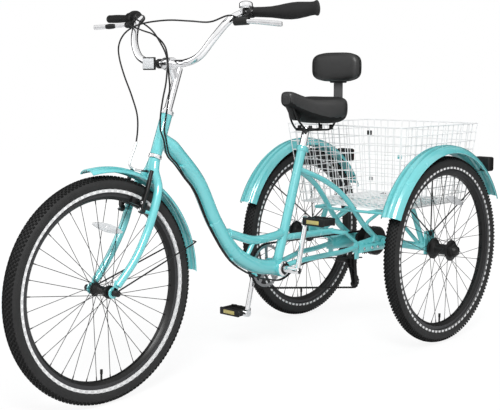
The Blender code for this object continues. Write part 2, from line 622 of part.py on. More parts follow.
for side, suffix in ((1, "left"), (-1, "right")):
    arm_empty = carrier("brake_arm_axis_" + suffix, on_steering(BRAKE_UP, BRAKE_REACH, side * BOSS_X), steer_empty)
    finish(brake_arm(side), "brake_arm_" + suffix, BLACK, arm_empty)

# Main frame

MAIN_TUBE = [placed(0, -0.398, 0.760), placed(0, -0.341, 0.706), placed(0, -0.255, 0.614), placed(0, -0.181, 0.482),
             placed(0, -0.094, 0.375), placed(0, 0.011, 0.318), CRANK_CENTRE]
SECOND_TUBE = [placed(0, -0.150, 0.450), placed(0, -0.101, 0.435), placed(0, -0.001, 0.405), placed(0, 0.098, 0.406),
               placed(0, 0.150, 0.414)]
YOKE_Y = REAR_AXLE.y - 0.2195
YOKE_Z = 0.389
PLATE_OUTLINE = [(PLATE_FRONT_Y, 0.306), (0.668, 0.301), (0.668, 0.345), (0.640, 0.356), (0.600, 0.366),
                 (0.500, 0.352), (0.445, 0.352), (0.440, 0.400), (0.400, 0.400), (PLATE_FRONT_Y, 0.336)]
BEARING_RADIUS = 0.021


def upper_stay(side):
    route = [SEAT_TOP - SEAT_UP * 0.082 + Vector((side * 0.006, 0.004, 0)), placed(side * 0.026, 0.300, 0.583),
             placed(side * 0.044, 0.388, 0.533), placed(side * 0.056, 0.470, 0.471),
             placed(side * (PLATE_X - 0.001), 0.545, 0.411), placed(side * (PLATE_X - 0.001), 0.618, 0.346)]
    return tube(smooth_path(route, 2), STAY_RADIUS, 2)


def lower_stay(side):
    route = [(side * 0.018, CRANK_Y + 0.012, CRANK_Z + 0.006), placed(side * 0.030, 0.200, 0.312),
             placed(side * 0.052, 0.300, 0.320), placed(side * PLATE_X, 0.400, 0.322)]
    return tube(smooth_path(route, 2), LOWER_STAY_RADIUS, 2)


def drive_plate(side):
    """A side plate with the bearing housing that carries the axle."""
    middle = side * PLATE_X
    sheet = plate([(y + REAR_SHIFT, z) for y, z in PLATE_OUTLINE], PLATE_THICKNESS, middle)
    housing = rod(REAR_AXLE + Vector((middle - side * PLATE_THICKNESS * 1.5, 0, 0)),
                  REAR_AXLE + Vector((middle + side * (PLATE_THICKNESS / 2 - GAP), 0, 0)), BEARING_RADIUS, 16)
    return combine(sheet, [housing])


head = rod(on_steering(CUP_HEIGHT + GAP), on_steering(CUP_HEIGHT + GAP + HEAD_TUBE_LENGTH), HEAD_TUBE_RADIUS, 16)
seat_tube = rod(CRANK_CENTRE, SEAT_TOP - SEAT_UP * 0.004, SEAT_TUBE_RADIUS, 16)
seat_collar = rod(SEAT_TOP - SEAT_UP * 0.018, SEAT_TOP, SEAT_TUBE_RADIUS + 0.003, 16)
shell = rod(CRANK_CENTRE - Vector((SHELL_HALF_WIDTH, 0, 0)), CRANK_CENTRE + Vector((SHELL_HALF_WIDTH, 0, 0)),
            SHELL_RADIUS, 16)
frame_tubes = [seat_tube, seat_collar, tube(smooth_path(MAIN_TUBE, 2), MAIN_TUBE_RADIUS, 5),
               tube(smooth_path(SECOND_TUBE, 2), SECOND_TUBE_RADIUS, 3), shell,
               rod(placed(0, -0.033, 0.352), placed(0, 0.003, 0.402), 0.008, 8),
               rod((0, 0.150, 0.396), (0, YOKE_Y, YOKE_Z), 0.0115, 10),
               upper_stay(1), upper_stay(-1), lower_stay(1), lower_stay(-1), drive_plate(1), drive_plate(-1),
               block((2 * PLATE_X, 0.034, 0.018), (0, YOKE_Y, YOKE_Z))]
STEERER_BORE = rod(on_steering(0), on_steering(HEAD_TOP + 0.01), STEERER_RADIUS + RUN, 16)
POST_BORE_DEPTH = 0.190
POST_BORE = rod(SEAT_TOP - SEAT_UP * POST_BORE_DEPTH, SEAT_TOP + SEAT_UP * 0.02, SEAT_POST_RADIUS + GAP, 16)
SPINDLE_BORE = rod(CRANK_CENTRE - Vector((0.05, 0, 0)), CRANK_CENTRE + Vector((0.05, 0, 0)), 0.0225, 16)
AXLE_BORE = rod(REAR_AXLE - Vector((0.1, 0, 0)), REAR_AXLE + Vector((0.1, 0, 0)), REAR_AXLE_RADIUS + RUN, 16)
main_frame = combine(combine(head, frame_tubes), [STEERER_BORE, POST_BORE, SPINDLE_BORE, AXLE_BORE], "DIFFERENCE")
finish(main_frame, "main_frame", TEAL, frame_empty)

# Rear carrier: axle housings, end plates, braces and the rails that hold the basket

HOUSING_IN = PLATE_X + PLATE_THICKNESS + GAP
HOUSING_OUT = TRACK / 2 - REAR_HUB_HALF - RUN
HOUSING_RADIUS = 0.0145
RAIL_Z = BASKET_FLOOR_Z - BASKET_WIRE / 2 - GAP - RAIL_RADIUS
RAIL_X = 0.120
RAIL_FRONT_Y = BASKET_FRONT_Y - 0.0625
RAIL_REAR_Y = BASKET_REAR_Y - 0.048
BOW_IN = 0.045               # middle of the bowed front rail, to each side
BOW_OUT = 0.190
BOW_BACK = 0.0645
END_PLATE = 0.006
axle_y = REAR_AXLE.y


def bow_point(x):
    """A point of the front rail, which runs straight in the middle and back towards its ends."""
    back = BOW_BACK * max(0, abs(x) - BOW_IN) / (BOW_OUT - BOW_IN)
    return Vector((x, RAIL_FRONT_Y + back, RAIL_Z))


def carrier_side(side):
    """Everything on one side: flange on the frame plate, axle housing, end plate and braces."""
    def at(x, y, z):
        return Vector((side * x, y, z))
    flange_x = HOUSING_IN - PLATE_THICKNESS / 2 + 0.0025
    front, rear = axle_y - 0.1445, axle_y + 0.0225
    flange = plate([(front, 0.306), (rear, 0.306), (rear, 0.333), (front, 0.333)], PLATE_THICKNESS, side * flange_x)
    housing = rod(at(flange_x, axle_y, AXLE_Z), at(HOUSING_OUT - END_PLATE / 2, axle_y, AXLE_Z), HOUSING_RADIUS, 14)
    end = plate([(axle_y - 0.030, AXLE_Z - 0.022), (axle_y + 0.030, AXLE_Z - 0.022), (axle_y + 0.030, AXLE_Z + 0.062),
                 (axle_y - 0.030, AXLE_Z + 0.062)], END_PLATE, side * (HOUSING_OUT - END_PLATE / 2))
    upright = rod(at(0.240, axle_y, AXLE_Z + 0.004), at(0.195, axle_y, RAIL_Z), 0.010, 8)
    brace = rod(at(0.226, axle_y, AXLE_Z + 0.002), at(0.085, axle_y, RAIL_Z), 0.007, 6)
    strut = rod(at(flange_x + 0.0055, front + 0.025, 0.325), bow_point(side * 0.095), 0.0065, 6)
    rail = rod(bow_point(side * RAIL_X), at(RAIL_X, RAIL_REAR_Y, RAIL_Z), RAIL_RADIUS * 0.85, 6)
    return [flange, housing, end, upright, brace, strut, rail]


def cross_rail(y, half):
    return rod((-half, y, RAIL_Z), (half, y, RAIL_Z), RAIL_RADIUS, 8)


front_rail = tube([bow_point(x) for x in (-BOW_OUT, -BOW_IN, BOW_IN, BOW_OUT)], RAIL_RADIUS, 2)
rear_parts = [cross_rail(RAIL_REAR_Y, RAIL_X + RAIL_RADIUS * 0.4)] + carrier_side(1) + carrier_side(-1) + [front_rail]
carrier_bore = rod(REAR_AXLE - Vector((TRACK, 0, 0)), REAR_AXLE + Vector((TRACK, 0, 0)), REAR_AXLE_RADIUS + RUN, 16)
rear_carrier = combine(combine(cross_rail(axle_y, 0.205), rear_parts), [carrier_bore], "DIFFERENCE")
finish(rear_carrier, "rear_carrier", TEAL, frame_empty)

# Rear axle, freewheel and brake drum

AXLE_END = TRACK / 2 + REAR_HUB_HALF + GAP
CAP_RADIUS = 0.020
rear_axle = lathe([(0, -AXLE_END - 0.014), (CAP_RADIUS * 0.8, -AXLE_END - 0.010), (CAP_RADIUS, -AXLE_END),
                   (REAR_AXLE_RADIUS, -AXLE_END), (REAR_AXLE_RADIUS, AXLE_END), (CAP_RADIUS, AXLE_END),
                   (CAP_RADIUS * 0.8, AXLE_END + 0.010), (0, AXLE_END + 0.014)], REAR_AXLE, (1, 0, 0), 14)
finish(rear_axle, "rear_axle", BLACK, drive_empty)
COG_STEP = 0.0100
COG_TEETH_STEPS = (14, 18, 22, 28)
freewheel_profile = []
for place, teeth in enumerate(COG_TEETH_STEPS):
    radius = teeth * CHAIN_PITCH / math.tau - (CHAIN_RADIUS + RUN) * (place == 0)
    x = CHAIN_X + place * COG_STEP
    freewheel_profile += [(radius, x - 0.0012), (radius, x + 0.0012), (radius * 0.82, x + 0.0014)]
freewheel_profile[-1] = (REAR_AXLE_RADIUS + RUN, freewheel_profile[-2][1])
freewheel = lathe([(REAR_AXLE_RADIUS + RUN, freewheel_profile[0][1])] + freewheel_profile, REAR_AXLE, (1, 0, 0), 20)
finish(freewheel, "freewheel", BLACK, freewheel_empty)
drum = lathe([(REAR_AXLE_RADIUS + GAP, 0.006), (0.018, 0.006), (0.020, 0.018), (DRUM_RADIUS, 0.018),
              (DRUM_RADIUS, 0.040), (DRUM_RADIUS * 0.85, 0.046), (REAR_AXLE_RADIUS + GAP, 0.046)],
             REAR_AXLE, (1, 0, 0), 20)
finish(drum, "brake_drum", BLACK, drive_empty)

# Crank, chainring, pedals and bottom bracket cups

SPINDLE_RADIUS = 0.0115
CUP_BORE = SPINDLE_RADIUS + RUN
for side, suffix in ((1, "left"), (-1, "right")):
    face = SHELL_HALF_WIDTH + GAP
    cup = lathe([(CUP_BORE, face - 0.014), (0.0225 - GAP, face - 0.014), (0.0225 - GAP, face),
                 (0.0265, face), (0.0245, face + 0.004), (CUP_BORE, face + 0.004)],
                CRANK_CENTRE, (side, 0, 0), 16)
    finish(cup, "bb_cup_" + suffix, CHROME, frame_empty)


spindle = rod(CRANK_CENTRE - Vector((CRANK_ARM_X + 0.010, 0, 0)), CRANK_CENTRE + Vector((CRANK_ARM_X + 0.010, 0, 0)),
              SPINDLE_RADIUS, 16)
EYE_HALF = 0.0095
eyes = [rod(axis + Vector((side * (CRANK_ARM_X - EYE_HALF), 0, 0)), axis + Vector((side * (CRANK_ARM_X + EYE_HALF), 0, 0)),
            0.0130, 14) for side, axis in ((1, LEFT_PEDAL_AXIS), (-1, RIGHT_PEDAL_AXIS))]
arms = [rod(CRANK_CENTRE + Vector((side * CRANK_ARM_X, 0, 0)), axis + Vector((side * CRANK_ARM_X, 0, 0)),
            CRANK_ARM_RADIUS, 12) for side, axis in ((1, LEFT_PEDAL_AXIS), (-1, RIGHT_PEDAL_AXIS))]
finish(combine(spindle, arms + eyes), "crank", CHROME, crank_empty)

ring_outer = CHAINRING_RADIUS - CHAIN_RADIUS - RUN * 2
ring = lathe([(SPINDLE_RADIUS + GAP, -0.0016), (ring_outer, -0.0016), (ring_outer, 0.0016),
              (SPINDLE_RADIUS + GAP, 0.0016)], CRANK_CENTRE + Vector((CHAIN_X, 0, 0)), (1, 0, 0), 32)
WINDOWS = 5
windows = []
for index in range(WINDOWS):
    angle = math.tau * index / WINDOWS
    centre = CRANK_CENTRE + Vector((CHAIN_X, 0.044 * math.cos(angle), 0.044 * math.sin(angle)))
    windows.append(rod(centre - Vector((0.01, 0, 0)), centre + Vector((0.01, 0, 0)), 0.0155, 8))
finish(combine(ring, windows, "DIFFERENCE"), "chainring", STEEL, crank_empty)


def pedal(side, axis):
    """A platform pedal: an open cage round its spindle tube."""
    inner = CRANK_ARM_X + EYE_HALF + RUN
    centre = axis + Vector((side * (inner + PEDAL_WIDTH / 2), 0, 0))
    body = block((PEDAL_WIDTH, PEDAL_LENGTH, PEDAL_HEIGHT), centre, bevel=0.004)
    slots = [block((PEDAL_WIDTH * 0.72, PEDAL_LENGTH * 0.22, PEDAL_HEIGHT * 2),
                   centre + Vector((0, offset * PEDAL_LENGTH * 0.25, 0))) for offset in (1, -1)]
    return combine(body, slots, "DIFFERENCE")


finish(pedal(1, LEFT_PEDAL_AXIS), "pedal_left", BLACK, left_pedal_empty, smooth=False)
finish(pedal(-1, RIGHT_PEDAL_AXIS), "pedal_right", BLACK, right_pedal_empty, smooth=False)

# Derailleur and chain

UPPER_JOCKEY = Vector((CHAIN_X, REAR_AXLE.y - 0.0355, 0.246))
LOWER_JOCKEY = Vector((CHAIN_X, REAR_AXLE.y - 0.0275, 0.170))
JOCKEY_HALF = 0.0035
CAGE_PLATE = 0.0030
CAGE_IN = CHAIN_RADIUS + RUN * 2
jockey_bore = 0.0035
for name, centre in (("upper_jockey", UPPER_JOCKEY), ("lower_jockey", LOWER_JOCKEY)):
    wheel_empty = carrier(name + "_axis", centre, frame_empty)
    rim_radius = JOCKEY_RADIUS - CHAIN_RADIUS - RUN
    jockey = lathe([(jockey_bore + RUN, -JOCKEY_HALF), (rim_radius, -JOCKEY_HALF * 0.5), (rim_radius, JOCKEY_HALF * 0.5),
                    (jockey_bore + RUN, JOCKEY_HALF)], centre, (1, 0, 0), 16)
    finish(jockey, name, BLACK, wheel_empty)


def cage_side(x):
    """One cage plate: a bar between the two jockey pivots."""
    along = LOWER_JOCKEY - UPPER_JOCKEY
    turn = Vector((0, 0, 1)).rotation_difference(along)
    middle = (UPPER_JOCKEY + LOWER_JOCKEY) / 2 + Vector((x, 0, 0))
    return block((CAGE_PLATE, 0.017, along.length + 0.024), middle, turn, 0.001)


cage_x = CAGE_IN + CAGE_PLATE / 2
pins = [rod(centre - Vector((cage_x, 0, 0)), centre + Vector((cage_x, 0, 0)), jockey_bore, 8)
        for centre in (UPPER_JOCKEY, LOWER_JOCKEY)]
finish(combine(cage_side(cage_x), [cage_side(-cage_x)] + pins), "derailleur_cage", BLACK, frame_empty)
knuckle_x = CHAIN_X - cage_x - CAGE_PLATE / 2 - GAP
hanger_y = REAR_AXLE.y - 0.0735
knuckle = rod(Vector((knuckle_x, UPPER_JOCKEY.y, UPPER_JOCKEY.z)),
              Vector((knuckle_x - 0.016, UPPER_JOCKEY.y, UPPER_JOCKEY.z)), 0.010, 12)
link = tube(smooth_path([(knuckle_x - 0.009, UPPER_JOCKEY.y, UPPER_JOCKEY.z), (knuckle_x - 0.010, hanger_y + 0.014, 0.262),
                         (-PLATE_X - 0.004, hanger_y, 0.284)], 2), 0.0075, 2)
top_knuckle = rod((-PLATE_X - 0.012, hanger_y, 0.288), (-PLATE_X + 0.004, hanger_y, 0.288), 0.0105, 12)
finish(combine(knuckle, [link, top_knuckle]), "derailleur_body", BLACK, frame_empty)


def belt_path(wheels, step=math.radians(14)):
    """The line of a chain round wheels given as (centre, radius, turning side), in the order that it meets them."""
    def tangent(first, second):
        (a, ra, sa), (b, rb, sb) = first, second
        across = math.atan2(b[1] - a[1], b[0] - a[0])
        lean = math.asin((sb * rb - sa * ra) / math.dist(a, b))
        angle = across - lean - math.pi / 2
        normal = (math.cos(angle), math.sin(angle))
        return ((a[0] + sa * ra * normal[0], a[1] + sa * ra * normal[1]),
                (b[0] + sb * rb * normal[0], b[1] + sb * rb * normal[1]))
    runs = [tangent(first, second) for first, second in zip(wheels, wheels[1:] + wheels[:1])]
    path = []
    for index, (centre, radius, side) in enumerate(wheels):
        arrive, leave = runs[index - 1][1], runs[index][0]
        start = math.atan2(arrive[1] - centre[1], arrive[0] - centre[0])
        sweep = side * ((math.atan2(leave[1] - centre[1], leave[0] - centre[0]) - start) * side % math.tau)
        count = max(2, round(abs(sweep) / step))
        for part in range(count + 1):
            angle = start + sweep * part / count
            path.append((CHAIN_X, centre[0] + radius * math.cos(angle), centre[1] + radius * math.sin(angle)))
    return path


chain_wheels = [((CRANK_Y, CRANK_Z), CHAINRING_RADIUS, 1),
                ((LOWER_JOCKEY.y, LOWER_JOCKEY.z), JOCKEY_RADIUS, 1),
                ((UPPER_JOCKEY.y, UPPER_JOCKEY.z), JOCKEY_RADIUS, -1),
                ((REAR_AXLE.y, REAR_AXLE.z), COG_RADIUS, 1)]
finish(tube(belt_path(chain_wheels), CHAIN_RADIUS, 0, True), "chain", BLACK, frame_empty)

# Seat post, saddle and backrest

POST_LENGTH = 0.150
RAIL_PLANE = 0.066            # saddle rails above the top of the seat tube, along the post
POST_TOP = SEAT_TOP + SEAT_UP * RAIL_PLANE
finish(rod(SEAT_TOP - SEAT_UP * POST_LENGTH, POST_TOP, SEAT_POST_RADIUS, 16), "seatpost", CHROME, seat_empty)

SADDLE_REAR_Y = SADDLE_NOSE_Y + SADDLE_LENGTH
SADDLE_RING = 16


def saddle_ring(share):
    """One cross-section of the saddle, at a share of its length from nose to rear."""
    y = SADDLE_NOSE_Y + SADDLE_LENGTH * share
    spread = min(1, max(0, (share - 0.12) / 0.55))
    spread = spread * spread * (3 - 2 * spread)
    half = 0.030 + (SADDLE_HALF_WIDTH - 0.030) * spread
    ends = min(1, share / 0.06, (1 - share) / 0.12)
    ends = math.sqrt(1 - (1 - ends) ** 2)
    top = 0.889 - 0.023 * math.sin(math.pi / 2 * min(1, share / 0.45)) ** 2 + 0.010 * max(0, (share - 0.45) / 0.55)
    deep = min(1, max(0, (share - 0.05) / 0.42))
    foot = 0.846 - 0.056 * deep * deep * (3 - 2 * deep)
    middle, tall = (top + foot) / 2, (top - foot) / 2
    ring = []
    for index in range(SADDLE_RING):
        angle = math.tau * index / SADDLE_RING
        across, rise = math.cos(angle), math.sin(angle)
        across = math.copysign(abs(across) ** 0.72, across)
        rise = math.copysign(abs(rise) ** 0.72, rise)
        dish = 0.006 * spread * (1 - across * across) * (rise > 0)
        ring.append((half * (0.55 + 0.45 * ends) * across, y, middle + tall * (0.50 + 0.50 * ends) * rise - dish))
    return ring


SHARES = (0.0, 0.03, 0.10, 0.22, 0.36, 0.50, 0.64, 0.78, 0.88, 0.96, 1.0)
finish(loft([saddle_ring(share) for share in SHARES]), "saddle", VINYL, seat_empty)


def under_saddle():
    """Clamp on the post, two rails that carry the saddle, and the nose bracket."""
    clamp = rod(POST_TOP + SEAT_UP * GAP + Vector((-0.034, 0, 0.010)), POST_TOP + SEAT_UP * GAP + Vector((0.034, 0, 0.010)),
                0.0095, 12)
    parts = []
    for side in (1, -1):
        route = [(side * 0.006, SADDLE_NOSE_Y + 0.034, 0.832), (side * 0.018, 0.200, 0.800), (side * 0.024, 0.250, 0.776),
                 (side * 0.030, 0.310, 0.772), (side * 0.045, 0.375, 0.775)]
        parts.append(tube(smooth_path(route, 2), 0.0045, 1))
    parts.append(rod((-0.012, SADDLE_NOSE_Y + 0.036, 0.832), (0.012, SADDLE_NOSE_Y + 0.036, 0.832), 0.006, 8))
    parts.append(rod((-0.060, 0.375, 0.775), (0.060, 0.375, 0.775), 0.0065, 8))
    return combine(clamp, parts)


finish(under_saddle(), "saddle_frame", BLACK, seat_empty)

BACKREST_CENTRE = Vector((0, 0.434, 0.974))


def backrest():
    """A crowned pad whose sides draw in between rounded corners."""
    bm = bmesh.new()
    bmesh.ops.create_uvsphere(bm, u_segments=16, v_segments=10, radius=1)
    for vert in bm.verts:
        x, y, z = vert.co
        shaped = [math.copysign(abs(value) ** power, value) for value, power in ((x, 0.62), (z, 0.62))]
        bow = 0.30 * (1 - shaped[0] ** 2)
        vert.co = (shaped[0] * BACKREST_WIDTH / 2, (y * 0.92 - bow * (y > 0) * 0.3) * BACKREST_DEPTH / 2,
                   shaped[1] * BACKREST_HEIGHT / 2)
    bmesh.ops.translate(bm, verts=bm.verts, vec=BACKREST_CENTRE)
    return from_bmesh(bm)


finish(backrest(), "backrest", VINYL, seat_empty)
BRACKET_THICKNESS = 0.005
BRACKET_Y = BACKREST_CENTRE.y + 0.011
BRACKET_LOW = 0.782
BRACKET_TOP = BACKREST_CENTRE.z - BACKREST_HEIGHT * 0.48 - 3 * GAP
bracket_bar = block((0.040, BRACKET_THICKNESS, BRACKET_TOP - BRACKET_LOW),
                    (0, BRACKET_Y, (BRACKET_TOP + BRACKET_LOW) / 2), bevel=0.001)
bracket_foot = block((0.040, 0.080, 0.005), (0, BRACKET_Y - 0.0375, BRACKET_LOW + 0.0025))
finish(combine(bracket_bar, [bracket_foot]), "backrest_bracket", BLACK, seat_empty, smooth=False)

# Fenders and their stays

DRAWN_FENDER_RADIUS = 0.371   # radius at which the lamp's place is drawn


def fender(centre, radius, width, start_degrees, end_degrees, steps):
    """A ridged fender swept round a wheel; degrees rise from the rear over the top to the front."""
    half = width / 2
    shape = [(-1.0, FENDER_DROP), (-0.84, 0.010), (-0.40, 0.0035), (0.0, 0.0)]
    shape = shape + [(-x, drop) for x, drop in reversed(shape[:-1])]
    outer = [(x * half, radius - drop) for x, drop in shape]
    inner = [(x * half * (1 - FENDER_SKIN / half), radius - drop - FENDER_SKIN) for x, drop in reversed(shape)]
    bm = bmesh.new()
    start = math.radians(start_degrees)
    loop = [bm.verts.new((x, r * math.cos(start), r * math.sin(start))) for x, r in outer + inner]
    face = bm.faces.new(loop)
    bmesh.ops.spin(bm, geom=[face], cent=(0, 0, 0), axis=(1, 0, 0), steps=steps,
                   angle=math.radians(end_degrees - start_degrees), use_duplicate=False)
    bmesh.ops.translate(bm, verts=bm.verts, vec=centre)
    return from_bmesh(bm)


for side, suffix, centre in ((1, "left", LEFT_WHEEL_CENTRE), (-1, "right", RIGHT_WHEEL_CENTRE)):
    guard = fender(centre, FENDER_RADIUS, FENDER_WIDTH, REAR_FENDER_FROM, REAR_FENDER_TO, FENDER_STEPS)
    fender_grown = FENDER_RADIUS - DRAWN_FENDER_RADIUS
    lamp_at = centre + Vector((0, fender_grown * 0.69, fender_grown * 0.72))
    lamp = block((0.056, 0.046, 0.046), lamp_at + Vector((0, 0.275, 0.288)), bevel=0.003)
    lamp_foot = rod(lamp_at + Vector((0, 0.249, 0.274)), lamp_at + Vector((0, 0.270, 0.282)), 0.008, 8)
    finish(combine(guard, [lamp_foot, lamp]), suffix + "_fender", TEAL, frame_empty)
    inside = centre - Vector((side * FENDER_WIDTH / 2, 0, 0))
    anchor = Vector((side * (HOUSING_OUT + GAP + 0.003), axle_y, AXLE_Z + 0.052))
    wires = []
    for step in (1, 7, 12):
        angle = math.radians(REAR_FENDER_FROM + (REAR_FENDER_TO - REAR_FENDER_FROM) * step / FENDER_STEPS)
        tip_radius = FENDER_RADIUS - FENDER_DROP - FENDER_SKIN - 3 * GAP
        tip = inside + Vector((side * FENDER_SKIN, tip_radius * math.cos(angle), tip_radius * math.sin(angle)))
        wires.append(rod(anchor + (tip - anchor) * 0.01, tip, 0.0028, 6))
    hub = rod(anchor - Vector((0.003 * side, 0, 0)), anchor + Vector((0.003 * side, 0, 0)), 0.008, 10)
    finish(combine(hub, wires), suffix + "_fender_stays", BLACK, frame_empty)

finish(fender(FRONT_AXLE + FRONT_FENDER_LIFT, FRONT_FENDER_RADIUS, FRONT_FENDER_WIDTH, 2, 99, 12), "front_fender",
       TEAL, steer_empty)


def front_stays():
    """One bent wire: from each dropout back to the fender, joined across behind it."""
    reach = FRONT_FENDER_RADIUS + 0.0027
    angle = math.radians(17)
    back = FRONT_AXLE + FRONT_FENDER_LIFT + Vector((0, reach * math.cos(angle), reach * math.sin(angle)))
    side = AXLE_NUT_OUT + 0.0026
    edge = FRONT_FENDER_WIDTH / 2 + 0.006
    near = Vector((side, FRONT_AXLE.y + 0.0135, FRONT_AXLE.z + 0.003))
    ahead = back + Vector((edge, -0.020, -0.004))
    left = [near, ahead, back + Vector((edge * 0.55, 0.0, 0.0))]
    route = left + [mirrored(point, -1) for point in reversed(left)]
    return tube(route, 0.0024, 1)


finish(front_stays(), "front_fender_stays", BLACK, steer_empty)

# Basket


def net(low_start, low_end, high_start, high_end):
    """A flat wire net on a four-sided sheet, with gaps between its wires and its thickness inwards."""
    across = low_end - low_start
    up = high_start - low_start
    columns = max(2, round(across.length / BASKET_PITCH))
    rows = max(2, round(up.length / BASKET_PITCH))
    bm = bmesh.new()
    bmesh.ops.create_grid(bm, x_segments=columns, y_segments=rows, size=0.5)
    for vert in bm.verts:
        along, rise = vert.co.x + 0.5, vert.co.y + 0.5
        vert.co = low_start.lerp(low_end, along).lerp(high_start.lerp(high_end, along), rise)
    bm.normal_update()
    cells = bm.faces[:]
    bmesh.ops.inset_individual(bm, faces=cells, thickness=BASKET_WIRE / 2, use_even_offset=True)
    bmesh.ops.delete(bm, geom=cells, context="FACES")
    grown = bmesh.ops.extrude_face_region(bm, geom=bm.faces[:])
    moved = [item for item in grown["geom"] if isinstance(item, bmesh.types.BMVert)]
    bmesh.ops.translate(bm, verts=moved, vec=across.cross(up).normalized() * BASKET_WIRE)
    return from_bmesh(bm)


basket_low = BASKET_FLOOR_Z - BASKET_WIRE / 2
wall_low = basket_low + BASKET_WIRE + GAP
wall_high = basket_low + BASKET_HEIGHT
rim_half = BASKET_HALF_WIDTH + BASKET_FLARE
rim_front = BASKET_FRONT_Y - BASKET_FLARE
rim_rear = BASKET_REAR_Y + BASKET_REAR_FLARE
wall_inset = BASKET_WIRE * 1.05 + GAP


def low_corner(x, y):
    return Vector((x, y, wall_low))


def high_corner(x, y):
    return Vector((x, y, wall_high))


finish(net(Vector((-BASKET_HALF_WIDTH, BASKET_FRONT_Y, basket_low)), Vector((BASKET_HALF_WIDTH, BASKET_FRONT_Y, basket_low)),
           Vector((-BASKET_HALF_WIDTH, BASKET_REAR_Y, basket_low)), Vector((BASKET_HALF_WIDTH, BASKET_REAR_Y, basket_low))),
       "basket_floor", WHITE, frame_empty, smooth=False)
finish(net(low_corner(BASKET_HALF_WIDTH, BASKET_REAR_Y), low_corner(BASKET_HALF_WIDTH, BASKET_FRONT_Y),
           high_corner(rim_half, rim_rear), high_corner(rim_half, rim_front)),
       "basket_left", WHITE, frame_empty, smooth=False)
finish(net(low_corner(-BASKET_HALF_WIDTH, BASKET_FRONT_Y), low_corner(-BASKET_HALF_WIDTH, BASKET_REAR_Y),
           high_corner(-rim_half, rim_front), high_corner(-rim_half, rim_rear)),
       "basket_right", WHITE, frame_empty, smooth=False)
low_half = BASKET_HALF_WIDTH - wall_inset
high_half = rim_half - wall_inset
finish(net(low_corner(low_half, BASKET_FRONT_Y), low_corner(-low_half, BASKET_FRONT_Y),
           high_corner(high_half, rim_front), high_corner(-high_half, rim_front)),
       "basket_front", WHITE, frame_empty, smooth=False)
finish(net(low_corner(-low_half, BASKET_REAR_Y), low_corner(low_half, BASKET_REAR_Y),
           high_corner(-high_half, rim_rear), high_corner(high_half, rim_rear)),
       "basket_rear", WHITE, frame_empty, smooth=False)

# Cables

LEFT_PIVOT = GRIP_IN + BAR_OUT * LEVER_STATION + LEVER_DROP
RIGHT_PIVOT = mirrored(LEFT_PIVOT, -1)
left_barrel = LEFT_PIVOT - BAR_OUT * (BARREL_REACH + 0.0028) - LEVER_DROP.normalized() * BARREL_IN
right_barrel = RIGHT_PIVOT - SHIFTER_AXIS * (BARREL_REACH + 0.0028) - LEVER_DROP.normalized() * BARREL_IN
NOODLE_TOP = on_steering(BRAKE_UP + BRAKE_ARM_LENGTH, BRAKE_REACH - 0.0165, 0)
FRONT_CABLE = [left_barrel, left_barrel + Vector((-0.013, -0.030, 0.006)),
               (0.150, -0.347, 1.099), (0.100, -0.379, 1.102), (0.045, -0.415, 1.105), (-0.030, -0.435, 1.099),
               (-0.080, -0.445, 1.086), (-0.115, -0.450, 1.064), (-0.130, -0.455, 1.033), (-0.125, -0.457, 0.996),
               (-0.100, -0.460, 0.944), (-0.065, -0.461, 0.882), (-0.044, -0.459, 0.820), (-0.040, -0.469, 0.749),
               NOODLE_TOP + Vector((-0.034, -0.018, 0.020)), NOODLE_TOP + Vector((-0.020, -0.005, 0.002)),
               NOODLE_TOP + Vector((0.030, 0, 0))]
finish(tube(smooth_path(FRONT_CABLE, 3), CABLE_RADIUS, 1), "front_brake_cable", BLACK, steer_empty)
UNDER_TUBE = [(-0.385, 0.6855), (-0.338, 0.6650), (-0.275, 0.5845), (-0.214, 0.4720), (-0.122, 0.3530),
              (-0.008, 0.2860), (0.060, 0.2660), (0.130, 0.2560), (0.220, 0.2900), (0.330, 0.3010)]
TUBE_SIDE = 0.0085


def frame_run(x):
    """The stretch of a cable that is clipped under the main tube and on below the lower stay."""
    return [(x, y, z) for y, z in UNDER_TUBE]


shifter_exit = SHIFTER_FOOT - SHIFTER_AXIS * 0.003 - Vector((0, 0.0215, 0))
SHIFT_CABLE = ([shifter_exit, shifter_exit - SHIFTER_AXIS * 0.030 + Vector((0, -0.018, 0.002)),
               (-0.148, -0.344, 1.106), (-0.085, -0.360, 1.080), (-0.028, -0.381, 1.045), (0.014, -0.398, 1.012),
               (0.041, -0.415, 0.983), (0.047, -0.423, 0.950), (0.049, -0.430, 0.918), (0.049, -0.442, 0.876),
               (0.044, -0.447, 0.828), (0.040, -0.444, 0.787),
               (0.029, -0.415, 0.735)] + frame_run(TUBE_SIDE) + [(-0.030, 0.420, 0.296), (-0.060, 0.520, 0.280)])
BRAKE_CABLE = ([right_barrel, right_barrel + Vector((0.014, -0.037, -0.006)),
               (-0.147, -0.346, 1.083), (-0.100, -0.347, 1.071), (-0.042, -0.364, 1.049), (-0.002, -0.380, 1.022),
               (0.029, -0.401, 0.979), (0.035, -0.404, 0.943), (0.036, -0.402, 0.911), (0.036, -0.408, 0.869),
               (0.034, -0.416, 0.827), (0.034, -0.423, 0.786),
               (0.040, -0.420, 0.735)] + frame_run(TUBE_SIDE + 0.008) + [(0.030, 0.430, 0.294), (0.036, 0.550, 0.280)])
finish(tube(smooth_path(SHIFT_CABLE, 2), CABLE_RADIUS, 1), "shift_cable", BLACK, frame_empty)
finish(tube(smooth_path(BRAKE_CABLE, 2), CABLE_RADIUS, 1), "rear_brake_cable", BLACK, frame_empty)

# The origin lies on the floor under the middle of the length
frame_empty.location = (0, -MIDDLE_Y, -FLOOR_Z)
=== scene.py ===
# %% [markdown]
# # An adult tricycle, dressed
# The imported model gives exact places and sizes but coarse facets. This lesson loads it as a fixed frame,
# then makes most visible pieces again with finer meshes and real finishes, and hangs most new pieces on the
# body that carries them.

# %% Load the frame
import json
import math

import bmesh
import bpy
from mathutils import Matrix, Vector


